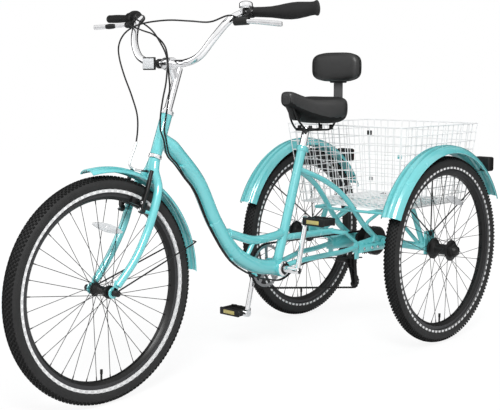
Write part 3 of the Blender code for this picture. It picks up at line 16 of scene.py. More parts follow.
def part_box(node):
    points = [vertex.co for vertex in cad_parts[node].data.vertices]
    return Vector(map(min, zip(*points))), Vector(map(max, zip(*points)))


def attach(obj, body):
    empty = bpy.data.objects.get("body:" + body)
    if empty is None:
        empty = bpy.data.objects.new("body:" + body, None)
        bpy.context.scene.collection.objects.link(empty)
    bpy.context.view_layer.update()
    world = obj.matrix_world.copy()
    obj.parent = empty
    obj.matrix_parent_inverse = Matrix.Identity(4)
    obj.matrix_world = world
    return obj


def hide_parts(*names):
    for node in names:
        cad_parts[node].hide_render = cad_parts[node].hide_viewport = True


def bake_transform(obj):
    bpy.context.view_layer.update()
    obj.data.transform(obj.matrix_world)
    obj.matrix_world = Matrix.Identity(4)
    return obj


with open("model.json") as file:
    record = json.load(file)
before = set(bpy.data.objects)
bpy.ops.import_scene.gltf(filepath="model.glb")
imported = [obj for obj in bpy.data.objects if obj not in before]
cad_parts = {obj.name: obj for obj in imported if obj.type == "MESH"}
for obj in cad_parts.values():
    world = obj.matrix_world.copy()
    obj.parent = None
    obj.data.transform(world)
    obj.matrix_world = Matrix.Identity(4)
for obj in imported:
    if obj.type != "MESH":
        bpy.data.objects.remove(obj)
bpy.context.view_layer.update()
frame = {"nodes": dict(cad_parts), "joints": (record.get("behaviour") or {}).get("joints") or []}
nodes = frame["nodes"]
JOINTS = {joint["name"]: joint for joint in frame["joints"]}

# %% [markdown]
# ## Camera, light and floor
# A product photograph on white needs a long lens from the front left. The world shows white to the camera
# and to reflections, but lights the object at a plain level, so the paint renders about as it is written.

# %% Camera
CAMERA_PLACE = Vector((2.33023, -2.52265, 0.94944))
CAMERA_TARGET = Vector((-0.0147, 0.0, 0.5202))
camera_data = bpy.data.cameras.new("camera")
camera_data.sensor_width = 36.0
camera_data.lens = 75.655
camera = bpy.data.objects.new("camera", camera_data)
camera.location = CAMERA_PLACE
camera.rotation_euler = (CAMERA_TARGET - CAMERA_PLACE).to_track_quat("-Z", "Y").to_euler()
bpy.context.scene.collection.objects.link(camera)
bpy.context.scene.camera = camera
bpy.context.scene.view_settings.view_transform = "Standard"
print("camera distance", round((CAMERA_TARGET - CAMERA_PLACE).length, 3))

# %% World and lamps


def add_node(tree, kind, **values):
    """A shader node with inputs set by name; an underscore in a name stands for a space."""
    made = tree.nodes.new(kind)
    for name, value in values.items():
        made.inputs[name.replace("_", " ")].default_value = value
    return made


def join(tree, *pairs):
    """Links each output to its input."""
    for output, socket in pairs:
        tree.links.new(output, socket)


world = bpy.data.worlds.new("studio")
world.use_nodes = True
bpy.context.scene.world = world
sky = world.node_tree
sky.nodes.clear()
sky_out = add_node(sky, "ShaderNodeOutputWorld")
sky_mix = add_node(sky, "ShaderNodeMixShader")
soft_light = add_node(sky, "ShaderNodeBackground", Color=(0.95, 0.97, 1.0, 1), Strength=0.34)
white_seen = add_node(sky, "ShaderNodeBackground", Color=(1, 1, 1, 1), Strength=1.0)
light_path = add_node(sky, "ShaderNodeLightPath")
either = add_node(sky, "ShaderNodeMath")
either.operation = "MAXIMUM"
any_seen = add_node(sky, "ShaderNodeMath")
any_seen.operation = "MAXIMUM"
join(sky,
     (light_path.outputs["Is Camera Ray"], either.inputs[0]),
     (light_path.outputs["Is Transmission Ray"], either.inputs[1]),
     (either.outputs[0], any_seen.inputs[0]),
     (light_path.outputs["Is Glossy Ray"], any_seen.inputs[1]),
     (any_seen.outputs[0], sky_mix.inputs["Fac"]),
     (soft_light.outputs[0], sky_mix.inputs[1]),
     (white_seen.outputs[0], sky_mix.inputs[2]),
     (sky_mix.outputs[0], sky_out.inputs["Surface"]))


def lamp(name, place, aim, power, size):
    """A square soft lamp that faces a point."""
    data = bpy.data.lights.new(name, "AREA")
    data.energy = power
    data.size = size
    made = bpy.data.objects.new(name, data)
    made.location = place
    made.rotation_euler = (Vector(aim) - Vector(place)).to_track_quat("-Z", "Y").to_euler()
    bpy.context.scene.collection.objects.link(made)


lamp("key", (2.4, -2.6, 3.6), (0, 0, 0.4), 185, 1.6)
lamp("fill", (-3.0, -1.6, 2.2), (0, 0, 0.5), 30, 2.5)
lamp("back", (0.6, 3.2, 2.6), (0, 0.4, 0.5), 40, 2.0)
print("lamps 3")

# %% [markdown]
# ## Finishes
# Each finish mixes a little noise into its colour and roughness and a fine bump into its surface, so that
# nothing reads as one flat colour. Patterns use Object coordinates, which stay put because every piece's
# mesh holds its place.

# %% Material maker


def finish(name, colour, roughness, metal=0.0, coat=0.0, shade=0.10, grain=60.0, bump_scale=400.0, bump=0.05,
           rough_spread=0.08, pattern="noise", gloss=0.5):
    """A procedural finish: colour drift, roughness drift and a bump of noise or of leather-like cells."""
    made = bpy.data.materials.new(name)
    made.use_nodes = True
    tree = made.node_tree
    shader = tree.nodes["Principled BSDF"]
    where = add_node(tree, "ShaderNodeTexCoord")
    drift = add_node(tree, "ShaderNodeTexNoise", Scale=grain, Detail=4.0)
    ramp = add_node(tree, "ShaderNodeValToRGB")
    low = [channel * (1 - shade) for channel in colour]
    high = [min(1.0, channel * (1 + shade)) for channel in colour]
    dark_stop, pale_stop = ramp.color_ramp.elements
    dark_stop.position = 0.3
    dark_stop.color = (*low, 1)
    pale_stop.position = 0.7
    pale_stop.color = (*high, 1)
    rough = add_node(tree, "ShaderNodeMapRange", To_Min=max(0.02, roughness - rough_spread),
                     To_Max=min(1.0, roughness + rough_spread))
    cells = pattern == "cells"
    relief = add_node(tree, "ShaderNodeTexVoronoi" if cells else "ShaderNodeTexNoise", Scale=bump_scale)
    raised = add_node(tree, "ShaderNodeBump", Strength=bump, Distance=0.001)
    join(tree,
         (where.outputs["Object"], drift.inputs["Vector"]),
         (drift.outputs["Fac"], ramp.inputs["Fac"]),
         (ramp.outputs["Color"], shader.inputs["Base Color"]),
         (drift.outputs["Fac"], rough.inputs["Value"]),
         (rough.outputs["Result"], shader.inputs["Roughness"]),
         (where.outputs["Object"], relief.inputs["Vector"]),
         (relief.outputs["Distance" if cells else "Fac"], raised.inputs["Height"]),
         (raised.outputs["Normal"], shader.inputs["Normal"]))
    shader.inputs["Metallic"].default_value = metal
    shader.inputs["Specular IOR Level"].default_value = gloss
    shader.inputs["Coat Weight"].default_value = coat
    shader.inputs["Coat Roughness"].default_value = 0.08
    return made


TEAL = finish("teal_enamel", (0.130, 0.570, 0.590), 0.26, coat=1.0, gloss=0.9, shade=0.05, grain=9,
              bump_scale=900, bump=0.03)
BLACK = finish("black_enamel", (0.006, 0.006, 0.006), 0.36, bump_scale=700, bump=0.04, gloss=0.30)
SATIN_GREY = finish("satin_rim_face", (0.030, 0.030, 0.032), 0.45, shade=0.08, gloss=0.35)
RUBBER = finish("tread_rubber", (0.008, 0.008, 0.008), 0.80, bump_scale=1500, bump=0.25, shade=0.2,
                gloss=0.15)
SIDEWALL = finish("sidewall_rubber", (0.020, 0.020, 0.020), 0.62, bump_scale=600, bump=0.08, shade=0.15,
                  gloss=0.25)
STRIPE = finish("reflective_stripe", (0.82, 0.82, 0.82), 0.35, bump_scale=2500, bump=0.15, shade=0.04)
BAND = finish("grey_band", (0.10, 0.10, 0.10), 0.40, bump_scale=2500, bump=0.15, shade=0.06)
DASH = finish("pale_dash", (0.62, 0.62, 0.62), 0.35, bump_scale=2500, bump=0.15, shade=0.04)
CHROME = finish("chrome_plate", (0.88, 0.88, 0.89), 0.10, metal=1.0, shade=0.03, rough_spread=0.04,
                bump=0.02)
ALLOY = finish("silver_alloy", (0.78, 0.78, 0.79), 0.24, metal=1.0, shade=0.05, bump_scale=1200, bump=0.05)
STEEL = finish("grey_steel", (0.40, 0.40, 0.41), 0.34, metal=0.9, shade=0.12)
GREASY = finish("oiled_steel", (0.020, 0.020, 0.020), 0.40, metal=0.5, shade=0.3, grain=200, gloss=0.3)
PLASTIC = finish("black_plastic", (0.007, 0.007, 0.007), 0.42, bump_scale=1800, bump=0.12, shade=0.12,
                 gloss=0.30)
GRIP = finish("grip_rubber", (0.007, 0.007, 0.007), 0.60, bump_scale=1400, bump=0.2, shade=0.15, gloss=0.25)
VINYL = finish("saddle_vinyl", (0.010, 0.010, 0.010), 0.40, bump_scale=520, bump=0.22, shade=0.15,
               pattern="cells", gloss=0.60)
# Black of the seams and piping, and also the darkest, matte black of the saddle base, where it is painted
# shade.
SEAM_AND_SHADE = finish("seam_thread_and_painted_shade", (0.006, 0.006, 0.006), 0.65, bump_scale=1600, bump=0.3, shade=0.2, gloss=0.2)
WIRE = finish("white_wire_coat", (0.90, 0.90, 0.90), 0.40, shade=0.03)
CABLE = finish("cable_sleeve", (0.006, 0.006, 0.006), 0.42, bump_scale=900, bump=0.06, gloss=0.25)
DARK_BRACKET = finish("dark_grey_bracket", (0.085, 0.085, 0.086), 0.45, shade=0.1, gloss=0.35)
CLEAR_LENS = finish("clear_lens", (0.62, 0.63, 0.64), 0.12, coat=0.6, bump_scale=260, bump=0.5,
                    pattern="cells")
RED_LENS = finish("red_lens", (0.10, 0.006, 0.006), 0.15, coat=0.3, bump_scale=260, bump=0.5,
                  pattern="cells")
AMBER_LENS = finish("amber_lens", (0.50, 0.42, 0.14), 0.20, coat=0.4, bump_scale=300, bump=0.5,
                    pattern="cells")
print("finishes", len(bpy.data.materials))

# %% [markdown]
# ## Shape helpers
# A tricycle is mostly tubes and turned pieces. A tube is a circle extruded ring by ring along a path, and a
# turned piece is a profile spun about its axis. Each helper adds to an open bmesh, so that one piece may
# hold many shapes.

# %% Helpers
UP = Vector((0, 0, 1))
X = Vector((1, 0, 0))


def mirrored(point, side):
    """A point as it is for a side of 1, or across the middle for -1."""
    return Vector((point[0] * side, point[1], point[2]))


def on_circle(radius, angle, x=0.0):
    """A point of a circle about the X axis; its angle rises from straight back."""
    return Vector((x, radius * math.cos(angle), radius * math.sin(angle)))


def rounded(value, power):
    """A value from -1 to 1 bent by a power, its sign kept; a power below 1 squares a circle."""
    return math.copysign(abs(value) ** power, value)


def smooth_path(points, steps=6):
    """A smooth curve that passes through all the points."""
    points = [Vector(point) for point in points]
    ends = [points[0] * 2 - points[1]] + points + [points[-1] * 2 - points[-2]]
    path = []
    for a, b, c, d in zip(ends, ends[1:], ends[2:], ends[3:]):
        for step in range(steps):
            t = step / steps
            path.append(0.5 * (2 * b + (c - a) * t + (2 * a - 5 * b + 4 * c - d) * t * t
                               + (3 * b - a - 3 * c + d) * t ** 3))
    return path + [points[-1]]


def add_sweep(bm, path, size, sides=16, power=1.0, closed=False):
    """A tube along a path; size is a radius, or one radius or (across, up) pair for each point."""
    path = [Vector(point) for point in path]
    sizes = size if isinstance(size, list) else [size] * len(path)
    pairs = [entry if isinstance(entry, tuple) else (entry, entry) for entry in sizes]
    count = len(path)
    along = []
    for index in range(count):
        before = path[index - 1] if index or closed else path[0]
        after = path[(index + 1) % count] if index < count - 1 or closed else path[-1]
        along.append((after - before).normalized())
    turn = UP.rotation_difference(along[0])

    def place(index, turned):
        wide, tall = pairs[index]
        return Matrix.Translation(path[index]) @ turned.to_matrix().to_4x4() @ Matrix.Diagonal((wide, tall,
                                                                                                1, 1))

    ring = bmesh.ops.create_circle(bm, cap_ends=False, segments=sides, radius=1)["verts"]
    for vert in ring:
        vert.co.x = rounded(vert.co.x, power)
        vert.co.y = rounded(vert.co.y, power)
    now = place(0, turn)
    bmesh.ops.transform(bm, matrix=now, verts=ring)
    edges = list({edge for vert in ring for edge in vert.link_edges})
    first = edges
    for index in range(1, count):
        turn = along[index - 1].rotation_difference(along[index]) @ turn
        grown = bmesh.ops.extrude_edge_only(bm, edges=edges)["geom"]
        fresh = {item for item in grown if isinstance(item, bmesh.types.BMVert)}
        edges = [item for item in grown if isinstance(item, bmesh.types.BMEdge) and set(item.verts) <= fresh]
        following = place(index, turn)
        bmesh.ops.transform(bm, matrix=following @ now.inverted(), verts=list(fresh))
        now = following
    if closed:
        bmesh.ops.bridge_loops(bm, edges=first + edges)
    else:
        bmesh.ops.contextual_create(bm, geom=first)
        bmesh.ops.contextual_create(bm, geom=edges)


def add_turn(bm, profile, centre, axis, steps=48):
    """A (radius, height) profile spun about an axis; a profile that starts off the axis is a closed ring."""
    old = set(bm.verts)
    points = [bm.verts.new((radius, 0, height)) for radius, height in profile]
    edges = [bm.edges.new(pair) for pair in zip(points, points[1:])]
    if profile[0][0] > 0:
        edges.append(bm.edges.new((points[-1], points[0])))
    bmesh.ops.spin(bm, geom=points + edges, cent=(0, 0, 0), axis=(0, 0, 1), angle=math.tau, steps=steps,
                   use_merge=True, use_duplicate=False)
    fresh = [vert for vert in bm.verts if vert not in old]
    turn = UP.rotation_difference(Vector(axis)).to_matrix().to_4x4()
    bmesh.ops.transform(bm, matrix=Matrix.Translation(centre) @ turn, verts=fresh)


def add_collar(bm, inner, outer, half, ease, centre, axis, steps=32):
    """A turned ring with eased corners, or a disc for an inner radius of 0; ease is (inwards, along)."""
    shoulder, face = outer - ease[0], half - ease[1]
    add_turn(bm, [(inner, -half), (shoulder, -half), (outer, -face), (outer, face), (shoulder, half),
                  (inner, half)],
             centre, axis, steps)


def add_block(bm, size, centre, turn=Matrix.Identity(4), ease=0.0, segments=2):
    """A box with eased edges."""
    place = Matrix.Translation(centre) @ turn @ Matrix.Diagonal((*size, 1))
    verts = bmesh.ops.create_cube(bm, size=1, matrix=place)["verts"]
    if ease:
        edges = list({edge for vert in verts for edge in vert.link_edges})
        bmesh.ops.bevel(bm, geom=edges, offset=ease, segments=segments, profile=0.5, affect="EDGES",
                        material=-1)


def add_plate(bm, outline, thickness, middle_x, ease=0.0008):
    """A flat plate across X from an outline of (y, z) points, with eased edges."""
    face = bm.faces.new([bm.verts.new((middle_x - thickness / 2, y, z)) for y, z in outline])
    grown = bmesh.ops.extrude_face_region(bm, geom=[face])["geom"]
    moved = [item for item in grown if isinstance(item, bmesh.types.BMVert)]
    bmesh.ops.translate(bm, verts=moved, vec=(thickness, 0, 0))
    verts = set(moved) | set(face.verts)
    edges = list({edge for vert in verts for edge in vert.link_edges})
    bmesh.ops.bevel(bm, geom=edges, offset=ease, segments=2, profile=0.5, affect="EDGES", material=-1)


def add_bolt(bm, centre, axis, radius=0.006, height=0.004):
    """A hexagon bolt head with a domed top."""
    add_turn(bm, [(0, 0), (radius, 0), (radius, height * 0.8), (radius * 0.8, height), (0, height * 1.15)],
             centre, axis, 6)


def make(bm, name, coat, body, replaces=(), sharp=35.0, subdivide=0, merge=True):
    """Closes a bmesh into a named piece with its finish, on the body that carries it."""
    if merge:
        bmesh.ops.remove_doubles(bm, verts=bm.verts, dist=2e-6)
    bmesh.ops.recalc_face_normals(bm, faces=bm.faces)
    mesh = bpy.data.meshes.new(name)
    bm.to_mesh(mesh)
    bm.free()
    mesh.materials.append(coat)
    mesh.shade_smooth()
    mesh.set_sharp_from_angle(angle=math.radians(sharp))
    piece = bpy.data.objects.new(name, mesh)
    bpy.context.scene.collection.objects.link(piece)
    if subdivide:
        modifier = piece.modifiers.new("soft", "SUBSURF")
        modifier.levels = subdivide
        modifier.render_levels = subdivide
    if body:
        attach(piece, body)
    if replaces:
        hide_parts(*replaces)
    return piece


print("helpers ready")

# %% [markdown]
# ## Floor
# A pale floor catches a faint contact shadow. To the camera most of it is plain white, as in a studio
# photograph, and near the wheels a small share of the real floor shows through.

# %% Floor
FLOOR_HALF = 8.0
FLOOR_DROP = 0.0015


def stand(bm, name, coat):
    """Closes a bmesh into a thing of the studio, which is no part of the tricycle."""
    mesh = bpy.data.meshes.new(name)
    bm.to_mesh(mesh)
    bm.free()
    mesh.materials.append(coat)
    made = bpy.data.objects.new(name, mesh)
    bpy.context.scene.collection.objects.link(made)
    return made


pale = bpy.data.materials.new("pale_floor")
pale.use_nodes = True
pale_tree = pale.node_tree
matt = pale_tree.nodes["Principled BSDF"]
matt.inputs["Base Color"].default_value = (0.86, 0.86, 0.86, 1)
matt.inputs["Roughness"].default_value = 0.9
glow = add_node(pale_tree, "ShaderNodeEmission", Strength=1.04)
pale_mix = add_node(pale_tree, "ShaderNodeMixShader")
rays = add_node(pale_tree, "ShaderNodeLightPath")
where = add_node(pale_tree, "ShaderNodeTexCoord")
far = add_node(pale_tree, "ShaderNodeVectorMath")
far.operation = "LENGTH"
fade = add_node(pale_tree, "ShaderNodeMapRange", From_Min=0.9, From_Max=2.0, To_Min=0.86, To_Max=1.0)
glow_share = add_node(pale_tree, "ShaderNodeMath")
glow_share.operation = "MULTIPLY"
join(pale_tree,
     (where.outputs["Object"], far.inputs[0]),
     (far.outputs["Value"], fade.inputs["Value"]),
     (rays.outputs["Is Camera Ray"], glow_share.inputs[0]),
     (fade.outputs["Result"], glow_share.inputs[1]),
     (glow_share.outputs[0], pale_mix.inputs["Fac"]),
     (matt.outputs[0], pale_mix.inputs[1]),
     (glow.outputs[0], pale_mix.inputs[2]),
     (pale_mix.outputs[0], pale_tree.nodes["Material Output"].inputs["Surface"]))
bm = bmesh.new()
bmesh.ops.create_grid(bm, x_segments=2, y_segments=2, size=FLOOR_HALF)
floor = stand(bm, "floor", pale)
floor.location.z = -FLOOR_DROP
print("floor set")

# %% [markdown]
# A photographer outlines chrome on white with black card. Here a dark half cylinder stands behind the
# tricycle, seen from the camera, and shows only in reflections: an upright edge is spun about the middle of
# the scene.

# %% Dark cove
COVE_RADIUS = 2.1
COVE_HALF_TURN = math.radians(78)
COVE_LOW, COVE_HIGH = 0.01, 3.4
away = CAMERA_TARGET - CAMERA_PLACE
away = Vector((away.x, away.y, 0)).normalized()
cove_start = Matrix.Rotation(-COVE_HALF_TURN, 3, "Z") @ away * COVE_RADIUS
bm = bmesh.new()
ends = [bm.verts.new((CAMERA_TARGET.x + cove_start.x, CAMERA_TARGET.y + cove_start.y, height))
        for height in (COVE_LOW, COVE_HIGH)]
upright = bm.edges.new(ends)
bmesh.ops.spin(bm, geom=[*ends, upright], cent=CAMERA_TARGET, axis=(0, 0, 1), angle=2 * COVE_HALF_TURN,
               steps=24, use_duplicate=False)
card = stand(bm, "dark_cove", BLACK)
card.visible_camera = False
card.visible_diffuse = False
card.visible_transmission = False
card.visible_shadow = False
print("cove set")

# %% [markdown]
# ## Cables
# Each brake or shift cable is a black sleeve on a fixed route: out of its lever in a wide loop, past the
# head tube and along the frame. Those that cross the steering are fixed in place and hang on no body.

# %% Cable routes
CABLE_RADIUS = 0.0025
STEER = JOINTS["steer"]
STEER_FOOT = Vector(STEER["pos_m"])
STEER_UP = Vector(STEER["axis"]).normalized()
STEER_FORWARD = Vector((0, -STEER_UP.z, STEER_UP.y))
LEFT_LEVER = Vector(JOINTS["left_lever_pull"]["pos_m"])
RIGHT_LEVER = Vector(JOINTS["right_lever_pull"]["pos_m"])
SHIFT_FOOT = Vector(JOINTS["shift_twist"]["pos_m"])
SHIFT_AXIS = Vector(JOINTS["shift_twist"]["axis"])
BAR_OUT = mirrored(SHIFT_AXIS, -1)
LEVER_OUT = Vector((0, -0.865426, -0.501036))
BARREL_IN = 0.0125
BARREL_END = 0.0208


def on_steering(up, forward=0.0, side=0.0):
    """A point by height along the steering axis, reach ahead of it and side offset."""
    return STEER_FOOT + STEER_UP * up + STEER_FORWARD * forward + Vector((side, 0, 0))


BRAKE_UP = -0.1660
BRAKE_FORWARD = 0.036
BRAKE_TOP = -0.049
noodle = on_steering(BRAKE_TOP, BRAKE_FORWARD)
left_start = LEFT_LEVER - BAR_OUT * BARREL_END - LEVER_OUT * BARREL_IN
right_start = RIGHT_LEVER - SHIFT_AXIS * BARREL_END - LEVER_OUT * BARREL_IN
shift_start = SHIFT_FOOT - SHIFT_AXIS * 0.003 - Vector((0, 0.0215, 0))
FRONT_ROUTE = [left_start, left_start + Vector((-0.013, -0.030, 0.006)),
               (0.150, -0.347, 1.099), (0.100, -0.379, 1.102), (0.045, -0.415, 1.105),
               (-0.030, -0.435, 1.099), (-0.080, -0.445, 1.086), (-0.115, -0.450, 1.064),
               (-0.130, -0.455, 1.033), (-0.125, -0.457, 0.996), (-0.100, -0.460, 0.944),
               (-0.065, -0.461, 0.882), (-0.044, -0.459, 0.820), (-0.040, -0.469, 0.749)]
NOODLE = [noodle + Vector((-0.034, -0.018, 0.020)), noodle + Vector((-0.020, -0.005, 0.002)),
          noodle + Vector((0.030, 0, 0))]
UNDER_TUBE = [(-0.3215, 0.6365), (-0.275, 0.5845), (-0.214, 0.4720), (-0.122, 0.3530),
              (-0.008, 0.2860), (0.060, 0.2660), (0.130, 0.2560), (0.220, 0.2900), (0.330, 0.3010)]
SHIFT_ROUTE = [shift_start, shift_start - SHIFT_AXIS * 0.030 + Vector((0, -0.018, 0.002)),
               (-0.148, -0.344, 1.106), (-0.085, -0.360, 1.080), (-0.028, -0.381, 1.045),
               (0.014, -0.398, 1.012), (0.041, -0.415, 0.983), (0.047, -0.423, 0.950),
               (0.049, -0.430, 0.918), (0.049, -0.442, 0.876), (0.044, -0.447, 0.828),
               (0.040, -0.444, 0.787), (0.036, -0.428, 0.757), (0.032, -0.412, 0.711),
               (0.026, -0.374, 0.679)]
SHIFT_ROUTE += [(0.0085, y, z) for y, z in UNDER_TUBE]
SHIFT_ROUTE += [(-0.030, 0.420, 0.296), (-0.060, 0.520, 0.280)]
REAR_ROUTE = [right_start, right_start + Vector((0.014, -0.037, -0.006)),
              (-0.147, -0.346, 1.083), (-0.100, -0.347, 1.071), (-0.042, -0.364, 1.049),
              (-0.002, -0.380, 1.022), (0.029, -0.401, 0.979), (0.035, -0.404, 0.943),
              (0.036, -0.402, 0.911), (0.036, -0.408, 0.869), (0.034, -0.416, 0.827), (0.034, -0.423, 0.786),
              (0.039, -0.421, 0.757), (0.035, -0.405, 0.712), (0.030, -0.368, 0.680)]
REAR_ROUTE += [(0.0145, y, z) for y, z in UNDER_TUBE]
REAR_ROUTE += [(0.030, 0.430, 0.294), (0.036, 0.550, 0.280)]
bm = bmesh.new()
front_path = smooth_path(FRONT_ROUTE + NOODLE, 6)
add_sweep(bm, front_path, CABLE_RADIUS, 10)
make(bm, "front_brake_sleeve", CABLE, "steering", ["front_brake_cable"])
bm = bmesh.new()
add_sweep(bm, front_path[-19:-3], 0.0034, 12)
make(bm, "brake_noodle", ALLOY, "steering")
bm = bmesh.new()
add_sweep(bm, [noodle + X * reach for reach in (0.012, 0.018, 0.023)], [0.0032, 0.0042, 0.0034], 12)
make(bm, "brake_boot", CABLE, "steering")
for name, route, node in (("rear_brake_sleeve", REAR_ROUTE, "rear_brake_cable"),
                          ("shift_sleeve", SHIFT_ROUTE, "shift_cable")):
    bm = bmesh.new()
    add_sweep(bm, smooth_path(route, 6), CABLE_RADIUS, 10)
    sleeve = make(bm, name, CABLE, None)
    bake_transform(sleeve)
    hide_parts(node)
print("cables 3")

# %% [markdown]
# ## Wheels
# A bicycle wheel is a tyre with a knobbed tread, a box-section rim, thirty-six crossed spokes and a flanged
# hub. The tyre and rim are spun about the axle; a spoke is a thin six-sided bar, because it is repeated so
# often.

# %% Tyres
TYRE_MIDDLE = 0.3063
TYRE_HALF_HEIGHT = 0.0230
TYRE_HALF_WIDTH = 0.0248
CASING_SIDES = 28
WHEEL_STEPS = 96
TREAD_RADIUS = 0.3316
TREAD_CROWN = 16
KNOBS = 150
KNOB_LONG, KNOB_HIGH = 0.0068, 0.0046
KNOB_LEAN = 0.25
KNOB_TILT = 0.75
FRONT_CENTRE = Vector(JOINTS["front_wheel_spin"]["pos_m"])
LEFT_CENTRE = Vector(JOINTS["left_wheel_spin"]["pos_m"])
RIGHT_CENTRE = mirrored(LEFT_CENTRE, -1)
WHEELS = (("front", FRONT_CENTRE, "front_roller"), ("left", LEFT_CENTRE, "left_roller"),
          ("right", RIGHT_CENTRE, "drive"))


def add_casing(bm, centre):
    """The round tyre casing: an oval section spun about the axle."""
    angles = [math.tau * step / CASING_SIDES for step in range(CASING_SIDES)]
    section = [(TYRE_MIDDLE + TYRE_HALF_HEIGHT * math.sin(angle), TYRE_HALF_WIDTH * math.cos(angle))
               for angle in angles]
    add_turn(bm, section, centre, X, WHEEL_STEPS)


def add_knobs(bm, centre, x, wide, offset):
    """One ring of tread blocks, copied round the axle by a spin."""
    old = set(bm.verts)
    radius = TREAD_RADIUS - KNOB_HIGH / 2 - abs(x) ** 2 * TREAD_CROWN
    tilt = Matrix.Rotation(-x / TYRE_HALF_WIDTH * KNOB_TILT, 4, "Y") @ Matrix.Rotation(KNOB_LEAN, 4, "Z")
    add_block(bm, (wide, KNOB_LONG, KNOB_HIGH), (x, 0, 0), tilt)
    block = [vert for vert in bm.verts if vert not in old]
    bmesh.ops.translate(bm, verts=block, vec=(0, 0, -radius))
    bmesh.ops.rotate(bm, verts=block, cent=(0, 0, 0), matrix=Matrix.Rotation(offset, 3, "X"))
    faces = list({face for vert in block for face in vert.link_faces})
    edges = list({edge for vert in block for edge in vert.link_edges})
    bmesh.ops.spin(bm, geom=block + edges + faces, cent=(0, 0, 0), axis=(1, 0, 0),
                   angle=math.tau - math.tau / KNOBS, steps=KNOBS - 1, use_merge=False, use_duplicate=True)
    fresh = [vert for vert in bm.verts if vert not in old]
    bmesh.ops.translate(bm, verts=fresh, vec=centre)


HALF_STEP = math.pi / KNOBS
SIDE_ROWS = ((0.0072, 0.0052, HALF_STEP), (0.0140, 0.0050, 0.0), (0.0196, 0.0040, HALF_STEP))
for name, centre, body in WHEELS:
    bm = bmesh.new()
    add_casing(bm, centre)
    make(bm, name + "_casing", SIDEWALL, body, [name + "_tyre"])
    bm = bmesh.new()
    add_knobs(bm, centre, 0.0, 0.0056, 0.0)
    for x, wide, offset in SIDE_ROWS:
        add_knobs(bm, centre, x, wide, offset)
        add_knobs(bm, centre, -x, wide, offset)
    make(bm, name + "_tread", RUBBER, body, merge=False, sharp=30)
print("tyres 3")

# %% [markdown]
# A reflective band is moulded into each sidewall. It is a flat ring spun just proud of the casing, with a
# row of short dashes on it, because a painted band would depend on the tyre's own section.

# %% Reflective stripes
STRIPE_RADIUS = 0.2912
STRIPE_X = 0.0205
STRIPE_ROOTS = (0.0120, 0.0180)
DASHES = 84
DASH_FILL = 0.55
DASH_PROUD = 0.0005


def stripe_section(half, proud):
    """Four (radius, x) corners of a flat band that stands a little proud of the sidewall."""
    low, high = STRIPE_RADIUS - half, STRIPE_RADIUS + half
    face = STRIPE_X + proud
    return [(low, STRIPE_ROOTS[0]), (low, face), (high, face), (high, STRIPE_ROOTS[1])]


def add_dashes(bm, centre, side, half):
    """Short dashes along the band, each spun through its own arc."""
    section = stripe_section(half, DASH_PROUD)
    for arc in range(DASHES):
        start = math.tau * arc / DASHES
        line = [bm.verts.new(centre + on_circle(radius, start, side * x)) for radius, x in section]
        bmesh.ops.spin(bm, geom=[bm.faces.new(line)], cent=centre, axis=(1, 0, 0),
                       angle=math.tau / DASHES * DASH_FILL, steps=2, use_duplicate=False)


for name, centre, body in WHEELS:
    half, band, dash = (0.0060, STRIPE, DASH) if name == "front" else (0.0046, BAND, STRIPE)
    bm = bmesh.new()
    for side in (1, -1):
        add_turn(bm, [(radius, side * x) for radius, x in stripe_section(half, 0)], centre, X, WHEEL_STEPS)
    make(bm, name + "_stripe", band, body)
    bm = bmesh.new()
    for side in (1, -1):
        add_dashes(bm, centre, side, half * 0.85)
    make(bm, name + "_dashes", dash, body)
print("stripes 6")

# %% [markdown]
# The rim is one closed box section spun about the axle, and the hub is a mirrored half profile. Spokes
# leave two flanges and cross before the rim, so their ends are worked out from angles rather than placed
# one by one.

# %% Rims, spokes and hubs
RIM_OUT = 0.2850
RIM_IN = 0.2635
RIM_HALF = 0.0145
SPOKES = 36
SPOKE_RADIUS = 0.0010
SPOKE_CROSS = math.radians(40)
NIPPLE = 0.012
RIM_SECTION = [(RIM_OUT, -RIM_HALF), (RIM_OUT, -RIM_HALF + 0.0025), (RIM_OUT - 0.005, -RIM_HALF + 0.004),
               (RIM_OUT - 0.005, RIM_HALF - 0.004), (RIM_OUT, RIM_HALF - 0.0025), (RIM_OUT, RIM_HALF),
               (RIM_OUT - 0.0125, RIM_HALF), (RIM_IN + 0.003, RIM_HALF * 0.66), (RIM_IN, RIM_HALF * 0.4),
               (RIM_IN, -RIM_HALF * 0.4), (RIM_IN + 0.003, -RIM_HALF * 0.66), (RIM_OUT - 0.0125, -RIM_HALF)]


def add_spokes(bm, centre, spread, flange):
    """Crossed spokes from two flanges to the rim, with a nipple at the rim end of each."""
    for index in range(SPOKES):
        side = 1 if index % 2 else -1
        lead = 1 if index % 4 < 2 else -1
        at_rim = math.tau * (index + 0.5) / SPOKES
        start = centre + on_circle(flange, at_rim + lead * SPOKE_CROSS, side * spread + lead * 0.0015)
        end = centre + on_circle(RIM_IN + 0.001, at_rim, side * 0.0029 + lead * 0.0016)
        along = end - start
        turn = UP.rotation_difference(along).to_matrix().to_4x4()
        nipple = end - along.normalized() * NIPPLE / 2
        for middle, length, thin, thick in (((start + end) / 2, along.length, SPOKE_RADIUS, SPOKE_RADIUS),
                                            (nipple, NIPPLE, SPOKE_RADIUS * 1.5, SPOKE_RADIUS * 2.0)):
            bmesh.ops.create_cone(bm, cap_ends=True, segments=6, radius1=thin, radius2=thick, depth=length,
                                  matrix=Matrix.Translation(middle) @ turn)


def hub_section(spread, flange, barrel, half, cap, bore):
    """Half-profiles of a flanged hub with a waisted barrel, mirrored about its middle."""
    half_line = [(bore, half), (cap * 0.9, half), (cap, half - 0.002), (cap * 1.1, spread + 0.004),
                 (flange * 0.86, spread + 0.0032), (flange, spread + 0.002), (flange, spread - 0.002),
                 (flange * 0.86, spread - 0.003), (barrel * 1.35, spread - 0.006), (barrel, spread - 0.014)]
    return half_line + [(radius, -height) for radius, height in reversed(half_line)]


